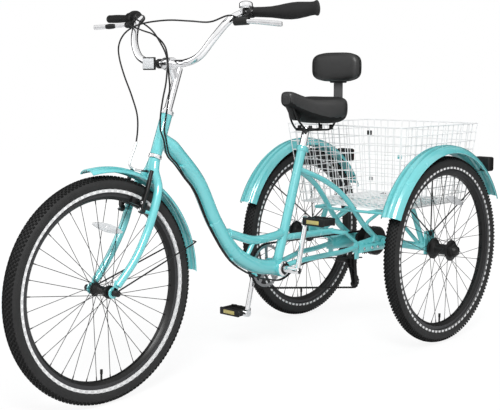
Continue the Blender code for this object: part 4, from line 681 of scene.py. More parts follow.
FRONT_HUB = (0.031, 0.0195, 0.0125, 0.046, 0.011, 0.0056)
REAR_HUB = (0.0355, 0.037, 0.0190, 0.052, 0.024, 0.0091)
VALVE = [(0, -0.002), (0.0032, -0.002), (0.0032, 0.018), (0.0042, 0.019), (0.0042, 0.032), (0, 0.033)]
VALVE_ANGLE = math.radians(268)
for name, centre, body in WHEELS:
    hub = FRONT_HUB if name == "front" else REAR_HUB
    spread, flange = hub[:2]
    bm = bmesh.new()
    add_turn(bm, RIM_SECTION, centre, X, WHEEL_STEPS)
    make(bm, name + "_rim", BLACK, body, [name + "_wheel"], sharp=28)
    bm = bmesh.new()
    add_spokes(bm, centre, spread, flange - 0.0055)
    make(bm, name + "_spokes", BLACK, body, merge=False, sharp=50)
    bm = bmesh.new()
    add_turn(bm, hub_section(*hub), centre, X, 40)
    make(bm, name + "_hub", BLACK, body)
    bm = bmesh.new()
    foot = centre + on_circle(RIM_IN, VALVE_ANGLE)
    add_turn(bm, VALVE, foot, (centre - foot).normalized(), 12)
    make(bm, name + "_valve", PLASTIC, body)
print("rims, spokes, hubs, valves 12")

# %% [markdown]
# Brake pads polish a grey track on each side of a rim, here a ring a hair's breadth proud of it. A spoke
# reflector is a leaf-shaped lens with a round boss, clipped between the spokes.

# %% Grey brake faces and spoke reflectors
FACE_LOW, FACE_HIGH = RIM_OUT - 0.0118, RIM_OUT - 0.0008
FACE_PROUD = 0.00006
LENS_HALF = 0.056
LENS_STEPS = 12
LENS_LEAN = math.radians(-19)
for name, centre, body in WHEELS:
    bm = bmesh.new()
    for side in (1, -1):
        low, high = side * RIM_HALF, side * (RIM_HALF + FACE_PROUD)
        add_turn(bm, [(FACE_LOW, low), (FACE_HIGH, low), (FACE_HIGH, high), (FACE_LOW, high)], centre, X,
                 WHEEL_STEPS)
    make(bm, name + "_brake_face", SATIN_GREY, body, sharp=28)


def add_lens(bm, middle, lean):
    """A leaf-shaped lens with a round boss, between the spokes."""
    edge = []
    for sign in (1, -1):
        for step in range(LENS_STEPS):
            along = sign * (step / (LENS_STEPS - 1) * 2 - 1) * LENS_HALF
            high = sign * (0.0025 + 0.0100 * (1 - (along / LENS_HALF) ** 2))
            edge.append((middle.y + along * math.cos(lean) - high * math.sin(lean),
                         middle.z + along * math.sin(lean) + high * math.cos(lean)))
    add_plate(bm, edge, 0.008, middle.x)
    add_collar(bm, 0, 0.0080, 0.0055, (0.0010, 0.0010), middle, X, 24)


for name, middle, body in (("spoke_reflector", (0.006, -0.6211, 0.5123), "front_roller"),
                           ("left_spoke_reflector", (0.3285, 0.7035, 0.5013), "left_roller")):
    bm = bmesh.new()
    add_lens(bm, Vector(middle), LENS_LEAN)
    make(bm, name, CLEAR_LENS, body)
print("brake faces 6, spoke reflectors 2")

# %% [markdown]
# ## Fork and headset
# Two round blades leave a crown under the head tube, drop along the steering axis and sweep forward to the
# axle. The sweep is one tube a side that narrows towards the foot, as drawn blades do.

# %% Fork
LEG_TOP = -0.012
FORK_HALF = 0.056
DROPOUT_X = 0.0491
HEAD_RADIUS = 0.0175
CUP_HEIGHT = 0.012
HEAD_LENGTH = 0.125
HEAD_TOP = 2 * CUP_HEIGHT + HEAD_LENGTH + 0.0006
to_axle = FRONT_CENTRE - STEER_FOOT
AXLE_UP = to_axle.dot(STEER_UP)
AXLE_FORWARD = to_axle.dot(STEER_FORWARD)
FENDER_MIDDLE = FRONT_CENTRE + Vector((0, 0.006, 0))
FRONT_FENDER_RADIUS = 0.3570
BLADE_RADIUS = 0.0130
BRAKE_SIDE = 0.046
BOSS_REACH = 0.0425
LEAN = UP.rotation_difference(STEER_UP).to_matrix().to_4x4()
bm = bmesh.new()
for side in (1, -1):
    leg = smooth_path([on_steering(LEG_TOP, 0, side * 0.008), on_steering(LEG_TOP - 0.026, 0, side * 0.015),
                       on_steering(LEG_TOP - 0.052, 0, side * 0.034),
                       on_steering(LEG_TOP - 0.080, 0, side * 0.0505),
                       on_steering(AXLE_UP * 0.34, 0, side * FORK_HALF),
                       on_steering(AXLE_UP * 0.52, AXLE_FORWARD * 0.04, side * FORK_HALF),
                       on_steering(AXLE_UP * 0.74, AXLE_FORWARD * 0.34, side * FORK_HALF),
                       on_steering(AXLE_UP + 0.022, AXLE_FORWARD * 0.88, side * (DROPOUT_X + 0.002))], 6)
    last = len(leg) - 1
    add_sweep(bm, leg, [BLADE_RADIUS - 0.0038 * max(0, index / last - 0.5) for index in range(last + 1)], 24)
    eye = FRONT_CENTRE + Vector((side * DROPOUT_X, 0, 0))
    add_collar(bm, 0.0053, 0.0165, 0.0025, (0.0007, 0.0007), eye, X)
    add_block(bm, (0.005, 0.018, 0.028), eye + STEER_UP * 0.022 - STEER_FORWARD * 0.004, LEAN, 0.001)
    boss = [on_steering(BRAKE_UP, reach, side * BRAKE_SIDE) for reach in (0, BOSS_REACH)]
    add_sweep(bm, boss, 0.0055, 16)
add_turn(bm, [(0, LEG_TOP - 0.034), (0.013, LEG_TOP - 0.034), (HEAD_RADIUS, LEG_TOP - 0.026),
              (HEAD_RADIUS, -0.002), (0.0160, -0.0004), (0, -0.0004)], STEER_FOOT, STEER_UP, 32)
add_sweep(bm, [on_steering(-0.004), on_steering(HEAD_TOP)], 0.0126, 24)
hanger_out = (on_steering(LEG_TOP - 0.018) - FENDER_MIDDLE).normalized()
add_sweep(bm, [on_steering(LEG_TOP - 0.008), FENDER_MIDDLE + hanger_out * (FRONT_FENDER_RADIUS + 0.0002)],
          0.0055, 14)
make(bm, "fork_blades", TEAL, "steering", ["fork"])
bm = bmesh.new()
for side in (1, -1):
    add_bolt(bm, on_steering(BRAKE_UP, BOSS_REACH + 0.0001, side * BRAKE_SIDE), STEER_FORWARD, 0.006, 0.005)
make(bm, "brake_pivot_bolts", ALLOY, "steering", sharp=25)
HEAD_LEAN = math.atan2(STEER_UP.y, STEER_UP.z)
PAD_UP = BRAKE_UP + 0.0207
ARM_LINE = [(BRAKE_UP - 0.002, 0.040, 0.044), (BRAKE_UP + 0.030, 0.039, 0.0455),
            (BRAKE_UP + 0.062, 0.038, 0.0470), (BRAKE_UP + 0.095, 0.037, 0.0445),
            (BRAKE_TOP + 0.003, 0.036, 0.0430)]
for side, suffix in ((1, "left"), (-1, "right")):
    bm = bmesh.new()
    arm = smooth_path([on_steering(up, forward, side * out) for up, forward, out in ARM_LINE], 5)
    last = len(arm) - 1
    add_sweep(bm, arm, [(0.0098 - 0.0044 * index / last, 0.0058) for index in range(last + 1)], 16,
              power=0.8)
    add_block(bm, (0.0130, 0.062, 0.0160), on_steering(PAD_UP, 0.036, side * 0.0229),
              Matrix.Rotation(-HEAD_LEAN, 4, "X"), 0.002)
    make(bm, "brake_arm_cover_" + suffix, BLACK, suffix + "_arm")
    bm = bmesh.new()
    add_bolt(bm, on_steering(PAD_UP, BOSS_REACH, side * 0.0470), STEER_FORWARD, 0.0050, 0.004)
    make(bm, "brake_pad_bolt_" + suffix, ALLOY, suffix + "_arm", sharp=25)
print("fork with", round(-AXLE_UP, 3), "m of drop")

# %% Headset
for name, low in (("headset_lower", 0.0), ("headset_upper", CUP_HEIGHT + HEAD_LENGTH + 0.0006)):
    bm = bmesh.new()
    top = low + CUP_HEIGHT
    ring = [(0.0133, low), (0.0185, low), (0.0203, low + 0.002), (0.0203, low + 0.004),
            (0.0190, low + 0.005), (0.0190, low + 0.007), (0.0203, low + 0.008), (0.0203, top - 0.002),
            (0.0185, top), (0.0133, top)]
    add_turn(bm, ring, STEER_FOOT, STEER_UP, 40)
    make(bm, name + "_cup", CHROME, "frame", [name])
print("headset cups 2")

# %% [markdown]
# ## Handlebar, stem and controls
# A silver quill stem carries a chrome riser bar. Rubber grips, a twist shifter, two levers and a bell sit
# on its straight ends, so their places are worked out along the bar's own direction.

# %% Stem and bar
STEM_RISE = 0.134
STEM_REACH = 0.0435
BAR_HEIGHT = HEAD_TOP + STEM_RISE
BAR_CENTRE = on_steering(BAR_HEIGHT, STEM_REACH)
BAR_RADIUS = 0.0111
BAR_HALF = 0.450
GRIP_LENGTH = 0.200
BAR_END = BAR_CENTRE + Vector((BAR_HALF, 0.1475, 0.152))
GRIP_IN = BAR_END - BAR_OUT * GRIP_LENGTH
BENDS = [Vector((0.060, 0, 0)), Vector((0.105, -0.002, 0.009)), Vector((0.140, 0.001, 0.028)),
         Vector((0.172, 0.015, 0.070)), Vector((0.200, 0.048, 0.120))]
half_bar = smooth_path([BAR_CENTRE + bend for bend in BENDS] + [GRIP_IN - BAR_OUT * 0.040], 8)
half_bar += [GRIP_IN, BAR_END - BAR_OUT * 0.003]
bm = bmesh.new()
add_sweep(bm, [mirrored(point, -1) for point in reversed(half_bar)] + half_bar, BAR_RADIUS, 24)
make(bm, "riser_bar", CHROME, "steering", ["handlebar"])
bm = bmesh.new()
stem_top = BAR_HEIGHT + 0.004
add_turn(bm, [(0, HEAD_TOP + 0.0004), (0.0135, HEAD_TOP + 0.0004), (0.0140, HEAD_TOP + 0.004),
              (0.0120, HEAD_TOP + 0.008), (0.0118, stem_top - 0.006), (0.0105, stem_top - 0.001),
              (0.008, stem_top), (0.008, stem_top - 0.003), (0, stem_top - 0.003)], STEER_FOOT, STEER_UP, 32)
add_sweep(bm, [on_steering(BAR_HEIGHT - 0.028, 0.000), on_steering(BAR_HEIGHT - 0.014, 0.020),
               on_steering(BAR_HEIGHT - 0.004, STEM_REACH - 0.010)],
          [(0.0088, 0.0200), (0.0085, 0.0150), (0.0110, 0.0125)], 20, power=0.8)
add_collar(bm, 0.0115, 0.0180, 0.020, (0.0010, 0.002), BAR_CENTRE, X, 36)
make(bm, "quill_stem", ALLOY, "steering", ["stem"])
bm = bmesh.new()
add_bolt(bm, on_steering(stem_top - 0.0031), STEER_UP, 0.0045, 0.003)
add_bolt(bm, BAR_CENTRE + STEER_FORWARD * 0.004 - STEER_UP * 0.0178, -STEER_UP, 0.005, 0.006)
make(bm, "stem_bolts", CHROME, "steering", sharp=25)
print("bar half width", BAR_HALF)

# %% Grips and shifter
SHIFTER_LENGTH = 0.050


def add_grip(bm, side, start, length, sizes, sag):
    """A rubber grip by (share of its length, half height, half depth), sagging a little under the palm."""
    along = mirrored(BAR_OUT, side)
    foot = mirrored(GRIP_IN, side) + along * start
    path = [foot + along * length * share - UP * sag * math.sin(math.pi * share) for share, tall,
            deep in sizes]
    add_sweep(bm, path, [(tall, deep) for share, tall, deep in sizes], 32)


LEFT_SIZES = [(0.0, 0.0128, 0.0128), (0.008, 0.0142, 0.0142), (0.03, 0.0145, 0.0145), (0.15, 0.0150, 0.0148),
              (0.28, 0.0163, 0.0152), (0.40, 0.0195, 0.0158), (0.50, 0.0228, 0.0164), (0.60, 0.0246, 0.0168),
              (0.70, 0.0244, 0.0168), (0.80, 0.0222, 0.0162), (0.90, 0.0196, 0.0158),
              (0.955, 0.0194, 0.0160), (0.985, 0.0222, 0.0182), (0.995, 0.0222, 0.0182),
              (1.0, 0.0205, 0.0168)]
bm = bmesh.new()
add_grip(bm, 1, 0, GRIP_LENGTH, LEFT_SIZES, 0.004)
make(bm, "left_grip", GRIP, "steering", ["grip_left"], sharp=50)
RIGHT_SIZES = [(share, 0.0118 + (tall - 0.0128) * 0.15, 0.0122) for share, tall, deep in LEFT_SIZES]
bm = bmesh.new()
add_grip(bm, -1, SHIFTER_LENGTH + 0.0003, GRIP_LENGTH - SHIFTER_LENGTH - 0.0003, RIGHT_SIZES, 0.0)
make(bm, "right_grip", GRIP, "steering", ["grip_right"], sharp=50)
bm = bmesh.new()
add_turn(bm, [(0.0118, 0), (0.0235, 0.0005), (0.0248, 0.003), (0.0248, 0.015), (0.0225, 0.019),
              (0.0195, 0.022), (0.0185, 0.026), (0.0182, SHIFTER_LENGTH - 0.001), (0.0118, SHIFTER_LENGTH)],
              SHIFT_FOOT, SHIFT_AXIS, 36)
make(bm, "shifter_body", PLASTIC, "shifter", ["twist_shifter"])
RIBS = 18
across = UP.cross(SHIFT_AXIS).normalized()
upward = SHIFT_AXIS.cross(UP.cross(SHIFT_AXIS)).normalized()
bm = bmesh.new()
for rib in range(RIBS):
    turn = math.tau * rib / RIBS
    foot = SHIFT_FOOT + (across * math.cos(turn) + upward * math.sin(turn)) * 0.0182
    add_sweep(bm, [foot + SHIFT_AXIS * 0.027, foot + SHIFT_AXIS * 0.047], 0.0013, 6)
make(bm, "shifter_ribs", GRIP, "shifter", merge=False)
print("grips 2, shifter ribs", RIBS)

# %% [markdown]
# Each lever turns on a pin in a black housing that is clamped to the bar. The blade is a flattened sweep;
# the left one follows the grip, and the right one bows out in front of the shifter.

# %% Levers
LEVER_STATION = -0.010
for side, suffix, pivot in ((1, "left", LEFT_LEVER), (-1, "right", RIGHT_LEVER)):
    along = mirrored(BAR_OUT, side)
    collar = mirrored(GRIP_IN, side) + along * LEVER_STATION
    bm = bmesh.new()
    add_collar(bm, 0.0115, 0.0165, 0.008, (0.0010, 0.0015), collar, along)
    add_sweep(bm, smooth_path([collar + LEVER_OUT * 0.0140, collar + LEVER_OUT * 0.026,
                               pivot - LEVER_OUT * 0.0067], 4),
              0.0068, 16)
    barrel = pivot - LEVER_OUT * BARREL_IN
    add_sweep(bm, [barrel - along * reach for reach in (0, 0.010, 0.0105, 0.018)],
              [0.0052, 0.0052, 0.0044, 0.0040], 16)
    if side < 0:
        add_sweep(bm, [pivot - along * 0.016, pivot - along * 0.013, pivot + along * 0.012,
                       pivot + along * 0.024],
                  [0.0085, 0.0105, 0.0100, 0.0060], 18)
    make(bm, "lever_housing_" + suffix, PLASTIC, "steering", ["lever_body_" + suffix])
    bm = bmesh.new()
    add_collar(bm, 0, 0.006, 0.005, (0.0005, 0.0008), pivot, along.cross(-LEVER_OUT), 24)
    if side > 0:
        bows = [(0.025, LEVER_OUT * 0.009 - UP * 0.002), (0.070, LEVER_OUT * 0.011 - UP * 0.006),
                (0.138, LEVER_OUT * 0.017 - UP * 0.012)]
    else:
        bows = [(0.030, Vector((0, -0.012, -0.002))), (0.075, Vector((0, -0.042, -0.006))),
                (0.1245, Vector((0, -0.0745, -0.010)))]
    blade = smooth_path([pivot + along * 0.003] + [pivot + along * reach + bow for reach, bow in bows], 6)
    last = len(blade) - 1
    add_sweep(bm, blade, [(0.0048 + 0.0030 * index / last, 0.0042)
                          for index in range(last)] + [(0.0066, 0.0036)], 18,
              power=0.75)
    make(bm, "lever_blade_" + suffix, ALLOY, suffix + "_lever", ["brake_lever_" + suffix])
    bm = bmesh.new()
    if side > 0:
        low = pivot - UP * 0.0045
        add_sweep(bm, [low - along * 0.026, low - along * 0.024, low + along * 0.020, low + along * 0.022],
                  [0.0096, 0.0116, 0.0116, 0.0100], 20)
        make(bm, "lever_barrel_" + suffix, PLASTIC, "steering")
    else:
        add_sweep(bm, blade[9:14], [0.0062, 0.0080, 0.0085, 0.0085, 0.0070], 16)
        make(bm, "lever_sleeve_" + suffix, PLASTIC, "right_lever")
print("levers 2")

# %% [markdown]
# The bell is a turned dome on a strap, and the reflector a ribbed lens in a black back that hangs from a
# clip.

# %% Bell and front reflector
BELL_STATION = -0.027
bell_foot = GRIP_IN + BAR_OUT * BELL_STATION
bm = bmesh.new()
add_collar(bm, 0.0125, 0.0150, 0.005, (0.0006, 0.0008), bell_foot + Vector((0, 0.0005, 0)), BAR_OUT)
add_turn(bm, [(0, 0.0115), (0.007, 0.0115), (0.006, 0.0135), (0, 0.0135)], bell_foot, UP, 20)
make(bm, "bell_strap", PLASTIC, "steering")
DOME_STEPS = 8
dome = [(0, 0.0338)]
for step in range(1, DOME_STEPS + 1):
    angle = math.pi / 2 * step / DOME_STEPS
    dome.append((0.0196 * math.sin(angle), 0.0252 + 0.0085 * math.cos(angle)))
dome += [(0.0200, 0.0140), (0.0194, 0.0130), (0, 0.0130)]
bm = bmesh.new()
add_turn(bm, dome, bell_foot, UP, 40)
add_turn(bm, [(0, 0.0328), (0.004, 0.0332), (0.003, 0.0342), (0, 0.0344)], bell_foot, UP, 16)
make(bm, "bell_dome", CHROME, "steering", ["bell"])
REFLECTOR_X = -0.040
clip = BAR_CENTRE + Vector((REFLECTOR_X, 0, 0))
bm = bmesh.new()
add_collar(bm, 0.0114, 0.0145, 0.006, (0.0005, 0.001), clip, X, 28)
add_sweep(bm, [clip + Vector((0, -0.0125, 0)), clip + Vector((0, -0.040, 0))], 0.0055, 14)
add_block(bm, (0.054, 0.006, 0.038), clip + Vector((0, -0.0425, 0)), ease=0.0022)
make(bm, "front_reflector_back", PLASTIC, "steering", ["front_reflector"])
bm = bmesh.new()
add_block(bm, (0.047, 0.0045, 0.031), clip + Vector((0, -0.0468, 0)), ease=0.0015)
for rib in range(-4, 5):
    foot = clip + Vector((rib * 0.005, -0.0488, -0.0145))
    add_sweep(bm, [foot, foot + Vector((0, 0, 0.029))], 0.0011, 8)
make(bm, "front_reflector_lens", CLEAR_LENS, "steering")
print("bell, reflector")

# %% [markdown]
# ## Frame
# The step-through frame is one curved main tube with a thinner tube above it, a seat tube, and pairs of
# stays that end in side plates. Tubes run into one another with a rounded bead of weld where they meet.

# %% Tubes
CRANK = Vector(JOINTS["crank_spin"]["pos_m"])
SEAT_UP = Vector(JOINTS["seat_height"]["axis"])
SEAT_TOP = Vector((0, 0.250, 0.703))
REAR_AXLE = Vector(JOINTS["drive_spin"]["pos_m"])
PLATE_X = 0.060
PLATE_THICK = 0.005
SECOND_RADIUS = 0.0143
SEAT_TUBE_RADIUS = 0.0160
BEAD_SIDES = 8
bm = bmesh.new()
head_low = on_steering(CUP_HEIGHT + 0.0003)
add_turn(bm, [(0.0133, 0), (0.0168, 0), (HEAD_RADIUS, 0.001), (HEAD_RADIUS, HEAD_LENGTH - 0.001),
              (0.0168, HEAD_LENGTH), (0.0133, HEAD_LENGTH)], head_low, STEER_UP, 36)
MAIN_ROUTE = [(0, -0.398, 0.760), (0, -0.341, 0.706), (0, -0.255, 0.614), (0, -0.181, 0.482),
              (0, -0.094, 0.375), (0, 0.011, 0.318), (0, CRANK.y, CRANK.z)]
main_path = smooth_path(MAIN_ROUTE, 8)
main_sizes = [min(0.0255, 0.0150 + 0.0022 * index) for index in range(len(main_path) - 2)]
add_sweep(bm, main_path[:-2], main_sizes, 32)
second_path = smooth_path([(0, -0.150, 0.450), (0, -0.101, 0.435), (0, -0.001, 0.405), (0, 0.098, 0.406),
                           (0, 0.150, 0.414)], 8)
add_sweep(bm, second_path, SECOND_RADIUS, 24)
add_sweep(bm, [CRANK + SEAT_UP * 0.024, SEAT_TOP - SEAT_UP * 0.004], SEAT_TUBE_RADIUS, 28)
add_sweep(bm, [(0, -0.033, 0.352), (0, 0.003, 0.402)], 0.008, 16)
add_sweep(bm, [(0, 0.150, 0.396), (0, 0.420, 0.389)], 0.0115, 20)
for side in (1, -1):
    upper = [SEAT_TOP - SEAT_UP * 0.082 + Vector((side * 0.006, 0.004, 0)), (side * 0.028, 0.312, 0.590),
             (side * 0.040, 0.372, 0.557), (side * 0.049, 0.418, 0.521), (side * 0.055, 0.457, 0.482),
             (side * 0.058, 0.498, 0.436), (side * (PLATE_X - 0.001), 0.548, 0.388),
             (side * (PLATE_X - 0.001), 0.612, 0.345)]
    add_sweep(bm, smooth_path(upper, 8), 0.0095, 20)
    lower = [(side * 0.024, CRANK.y + 0.026, CRANK.z + 0.007), (side * 0.030, 0.200, 0.312),
             (side * 0.052, 0.300, 0.320), (side * PLATE_X, 0.400, 0.322), (side * PLATE_X, 0.485, 0.330)]
    add_sweep(bm, smooth_path(lower, 8), 0.0090, 20)
add_collar(bm, 0.0226, 0.0285, 0.035, (0.001, 0.001), CRANK, X, 36)
make(bm, "frame_tubes", TEAL, "frame", ["main_frame"])
print("frame tubes")

# %% [markdown]
# The stays end in flat side plates, cut from an outline and eased at the edges. A yoke joins them, a collar
# closes the seat tube, and a weld is a rounded bead turned round the tube that it holds.

# %% Plates, yoke, seat collar and weld beads
PLATE_OUTLINE = [(0.463, 0.312), (0.476, 0.310), (0.476, 0.286), (0.496, 0.284), (0.500, 0.307),
                 (0.668, 0.301), (0.668, 0.345), (0.640, 0.354), (0.600, 0.360), (0.542, 0.352),
                 (0.472, 0.346)]
bm = bmesh.new()
for side in (1, -1):
    add_plate(bm, PLATE_OUTLINE, PLATE_THICK, side * PLATE_X)
    add_turn(bm, [(0.0092, -0.0075), (0.0200, -0.0075), (0.0210, -0.0065), (0.0210, 0.0018),
                  (0.0200, 0.0022), (0.0092, 0.0022)], REAR_AXLE + Vector((side * PLATE_X, 0, 0)),
                  (side, 0, 0), 32)
    add_sweep(bm, [(side * 0.054, 0.424, 0.388), (side * PLATE_X, 0.490, 0.342)], 0.0060, 14)
add_block(bm, (2 * PLATE_X - 0.002, 0.034, 0.012), (0, 0.420, 0.389), ease=0.002)
make(bm, "side_plates", TEAL, "frame", sharp=30)
SEAT_LUG = SEAT_TOP - SEAT_UP * 0.009 + Vector((0, 0.022, -0.007))
bm = bmesh.new()
add_turn(bm, [(0.0131, -0.018), (0.0185, -0.018), (0.0190, -0.0165), (0.0190, -0.0015), (0.0180, 0),
              (0.0131, 0)],
         SEAT_TOP, SEAT_UP, 36)
add_block(bm, (0.022, 0.010, 0.014), SEAT_LUG, ease=0.002)
make(bm, "seat_collar", TEAL, "frame")


def add_bead(bm, centre, axis, radius, thick=0.0022):
    """A rounded weld bead round a tube."""
    angles = [math.tau * step / BEAD_SIDES for step in range(BEAD_SIDES)]
    add_turn(bm, [(radius + thick * math.cos(angle), thick * math.sin(angle)) for angle in angles], centre,
             axis, 32)


bm = bmesh.new()
second_start = (second_path[3] - second_path[2]).normalized()
add_bead(bm, Vector(second_path[6]), second_start, SECOND_RADIUS)
add_bead(bm, CRANK + SEAT_UP * 0.030, SEAT_UP, SEAT_TUBE_RADIUS)
add_bead(bm, Vector((0, 0.1385, 0.4130)), (0, 0.98, 0.17), SECOND_RADIUS)
make(bm, "weld_beads", TEAL, "frame")
print("plates, collar, beads")

# %% Bolts, cable guides and seat bolt
FLANGE_OUT = 0.0678
bm = bmesh.new()
for side in (1, -1):
    for y, z in ((0.518, 0.320), (0.565, 0.320), (0.600, 0.319)):
        add_bolt(bm, (side * FLANGE_OUT, y, z), (side, 0, 0), 0.0065, 0.005)
    add_bolt(bm, (side * (PLATE_X + PLATE_THICK / 2), 0.486, 0.330), (side, 0, 0), 0.007, 0.004)
add_bolt(bm, SEAT_LUG + X * 0.011, X, 0.0052, 0.005)
add_bolt(bm, SEAT_LUG - X * 0.011, -X, 0.0052, 0.004)
make(bm, "frame_bolts", ALLOY, "frame", sharp=25)
bm = bmesh.new()
for y, z in ((-0.338, 0.6650), (-0.214, 0.4720), (-0.122, 0.3530), (-0.008, 0.2860)):
    add_block(bm, (0.022, 0.010, 0.0060), (0.0125, y, z + 0.0052), Matrix.Rotation(-0.9, 4, "X"), 0.0015)
make(bm, "cable_guides", TEAL, "frame")
print("bolts and guides")

# %% [markdown]
# ## Rear carrier
# Two housings carry the axle out to the wheels. End plates, uprights and braces hold a frame of rails for
# the basket.

# %% Carrier
HOUSING_OUT = 0.2699
RAIL_Z = 0.46245
RAIL_X = 0.120
RAIL_FRONT = 0.4700
RAIL_REAR = 0.900


def bow_point(x):
    """A point of the front rail, which runs straight in the middle and back towards its ends."""
    return Vector((x, RAIL_FRONT + 0.010 * max(0, abs(x) - 0.045) / 0.145, RAIL_Z))


AXLE_Y, AXLE_Z = REAR_AXLE.y, REAR_AXLE.z
FLANGE_PLATE = [(0.495, 0.306), (0.662, 0.306), (0.662, 0.333), (0.495, 0.333)]
FLANGE_X = 0.0653
END_PLATE = [(AXLE_Y - 0.030, AXLE_Z - 0.022), (AXLE_Y + 0.030, AXLE_Z - 0.022),
             (AXLE_Y + 0.030, AXLE_Z + 0.062), (AXLE_Y - 0.030, AXLE_Z + 0.062)]
END_THICK = 0.006
UPRIGHTS = ((0.240, 0.195, 0.0100, 18), (0.222, 0.085, 0.0070, 16))
BENT_BRACE = [(0.0675, 0.576, 0.340), (0.070, 0.574, 0.366), (0.070, 0.530, 0.409), (0.070, 0.592, 0.438),
              (0.070, AXLE_Y, RAIL_Z)]
HOUSING = [(0.0092, 0), (0.0145, 0), (0.0145, 0.2015), (0.0092, 0.2015)]
bm = bmesh.new()
for side in (1, -1):
    add_plate(bm, FLANGE_PLATE, PLATE_THICK, side * FLANGE_X)
    add_turn(bm, HOUSING, mirrored((FLANGE_X, AXLE_Y, AXLE_Z), side), (side, 0, 0), 28)
    add_plate(bm, END_PLATE, END_THICK, side * (HOUSING_OUT - END_THICK / 2))
    for low_x, high_x, radius, sides in UPRIGHTS:
        add_sweep(bm, [mirrored((low_x, AXLE_Y, AXLE_Z + 0.011), side),
                       mirrored((high_x, AXLE_Y, RAIL_Z), side)],
                  radius, sides)
    bent = [mirrored(point, side) for point in BENT_BRACE]
    add_sweep(bm, smooth_path(bent, 6), 0.0062, 16)
    add_sweep(bm, [bow_point(side * RAIL_X), mirrored((RAIL_X, RAIL_REAR, RAIL_Z), side)], 0.0064, 14)
for y, half in ((AXLE_Y, 0.200), (RAIL_REAR, RAIL_X + 0.003)):
    add_sweep(bm, [(-half, y, RAIL_Z), (half, y, RAIL_Z)], 0.0075, 16)
add_sweep(bm, smooth_path([bow_point(x) for x in (-0.124, -0.045, 0.045, 0.190)], 4), 0.0052, 16)
make(bm, "carrier_tubes", TEAL, "frame", ["rear_carrier"])
print("carrier rails at", RAIL_Z)

# %% [markdown]
# ## Fenders
# A pressed fender is a thin skin with rolled sides and a raised ridge along its middle. One closed section
# is swept round the axle, and wire stays hold it at the edges.

# %% Fenders
FENDER_SKIN = 0.0018
SECTION_STEPS = 16
FENDER_FROM, FENDER_TO = 27, 156.5
REAR_FENDER_RADIUS = 0.371
REAR_FENDER_HALF = 0.040


def fender_section(half, radius, skirt):
    """(x, radius) points of a rolled, ridged section, out along the top and back along the inside."""
    line = []
    for step in range(-SECTION_STEPS, SECTION_STEPS + 1):
        x = step / SECTION_STEPS
        drop = 0.0035 * x * x + skirt * abs(x) ** 5
        ridge = 0.0026 * (abs(x) < 0.1) + 0.0012 * (0.1 < abs(x) < 0.16)
        ridge += 0.0014 * (0.45 < abs(x) < 0.55)
        line.append((x * half, radius - 0.0026 - drop + ridge))
    inner = [(x * (1 - FENDER_SKIN / half), high - FENDER_SKIN) for x, high in reversed(line)]
    return line + inner


def add_fender(bm, centre, half, radius, skirt, first, last, steps):
    """One section spun about the axle from a first to a last angle, in degrees."""
    section = fender_section(half, radius, skirt)
    loop = [bm.verts.new(centre + on_circle(high, math.radians(first), x)) for x, high in section]
    bmesh.ops.spin(bm, geom=[bm.faces.new(loop)], cent=centre, axis=(1, 0, 0),
                   angle=math.radians(last - first), steps=steps, use_duplicate=False)


bm = bmesh.new()
add_fender(bm, FENDER_MIDDLE, 0.030, FRONT_FENDER_RADIUS, 0.0085, 2, 99, 56)
make(bm, "front_mudguard", TEAL, "steering", ["front_fender"], sharp=40)
for name, centre in (("left", LEFT_CENTRE), ("right", RIGHT_CENTRE)):
    bm = bmesh.new()
    add_fender(bm, centre, REAR_FENDER_HALF, REAR_FENDER_RADIUS, 0.0205, FENDER_FROM, FENDER_TO, 72)
    make(bm, name + "_mudguard", TEAL, "frame", [name + "_fender"], sharp=40)
    bm = bmesh.new()
    add_block(bm, (0.064, 0.034, 0.052), centre + Vector((0, 0.269, 0.288)), ease=0.005, segments=3)
    add_sweep(bm, [centre + Vector((0, 0.249, 0.272)), centre + Vector((0, 0.268, 0.282))], 0.008, 14)
    make(bm, name + "_lamp_case", PLASTIC, "frame")
    bm = bmesh.new()
    add_block(bm, (0.056, 0.010, 0.044), centre + Vector((0, 0.2885, 0.288)), ease=0.003, segments=3)
    make(bm, name + "_lamp_lens", RED_LENS, "frame")
print("fenders 3, rear reflectors 2")

# %% [markdown]
# Wire stays run from an anchor beside each axle to the fender's edge. The front stay is one wire that
# passes behind the tyre and comes back on the other side.

# %% Fender stays
STAY_REACH = 0.3452
STAY_STEPS = 14
for side, name, centre in ((1, "left", LEFT_CENTRE), (-1, "right", RIGHT_CENTRE)):
    bm = bmesh.new()
    anchor = Vector((side * (HOUSING_OUT + 0.0033), AXLE_Y, AXLE_Z + 0.052))
    inside = centre - Vector((side * REAR_FENDER_HALF, 0, 0))
    for step in (1, 7, 12):
        angle = math.radians(FENDER_FROM + (FENDER_TO - FENDER_FROM) * step / STAY_STEPS)
        tip = inside + on_circle(STAY_REACH, angle, side * 0.0016)
        add_sweep(bm, [anchor + (tip - anchor) * 0.01, tip], 0.0024, 10)
    add_collar(bm, 0, 0.008, 0.003, (0.0008, 0.001), anchor, X, 24)
    make(bm, name + "_stay_wires", BLACK, "frame", [name + "_fender_stays"])
stay_back = FENDER_MIDDLE + on_circle(FRONT_FENDER_RADIUS + 0.0027, math.radians(17))
stay_left = [Vector((0.0545, FRONT_CENTRE.y + 0.0135, FRONT_CENTRE.z + 0.003)),
             stay_back + Vector((0.036, -0.020, -0.004)), stay_back + Vector((0.031, -0.004, 0)),
             stay_back + Vector((0.0198, 0, 0))]
bm = bmesh.new()
add_sweep(bm, stay_left + [mirrored(point, -1) for point in reversed(stay_left)], 0.0023, 10)
make(bm, "front_stay_wire", BLACK, "steering", ["front_fender_stays"])
print("stays 3")

# %% [markdown]
# ## Basket
# The basket is welded wire: a fine grid on the floor and each wall between thicker rim wires. Each wire is
# its own thin bar, crossing the others half a wire apart, as real welded mesh does.

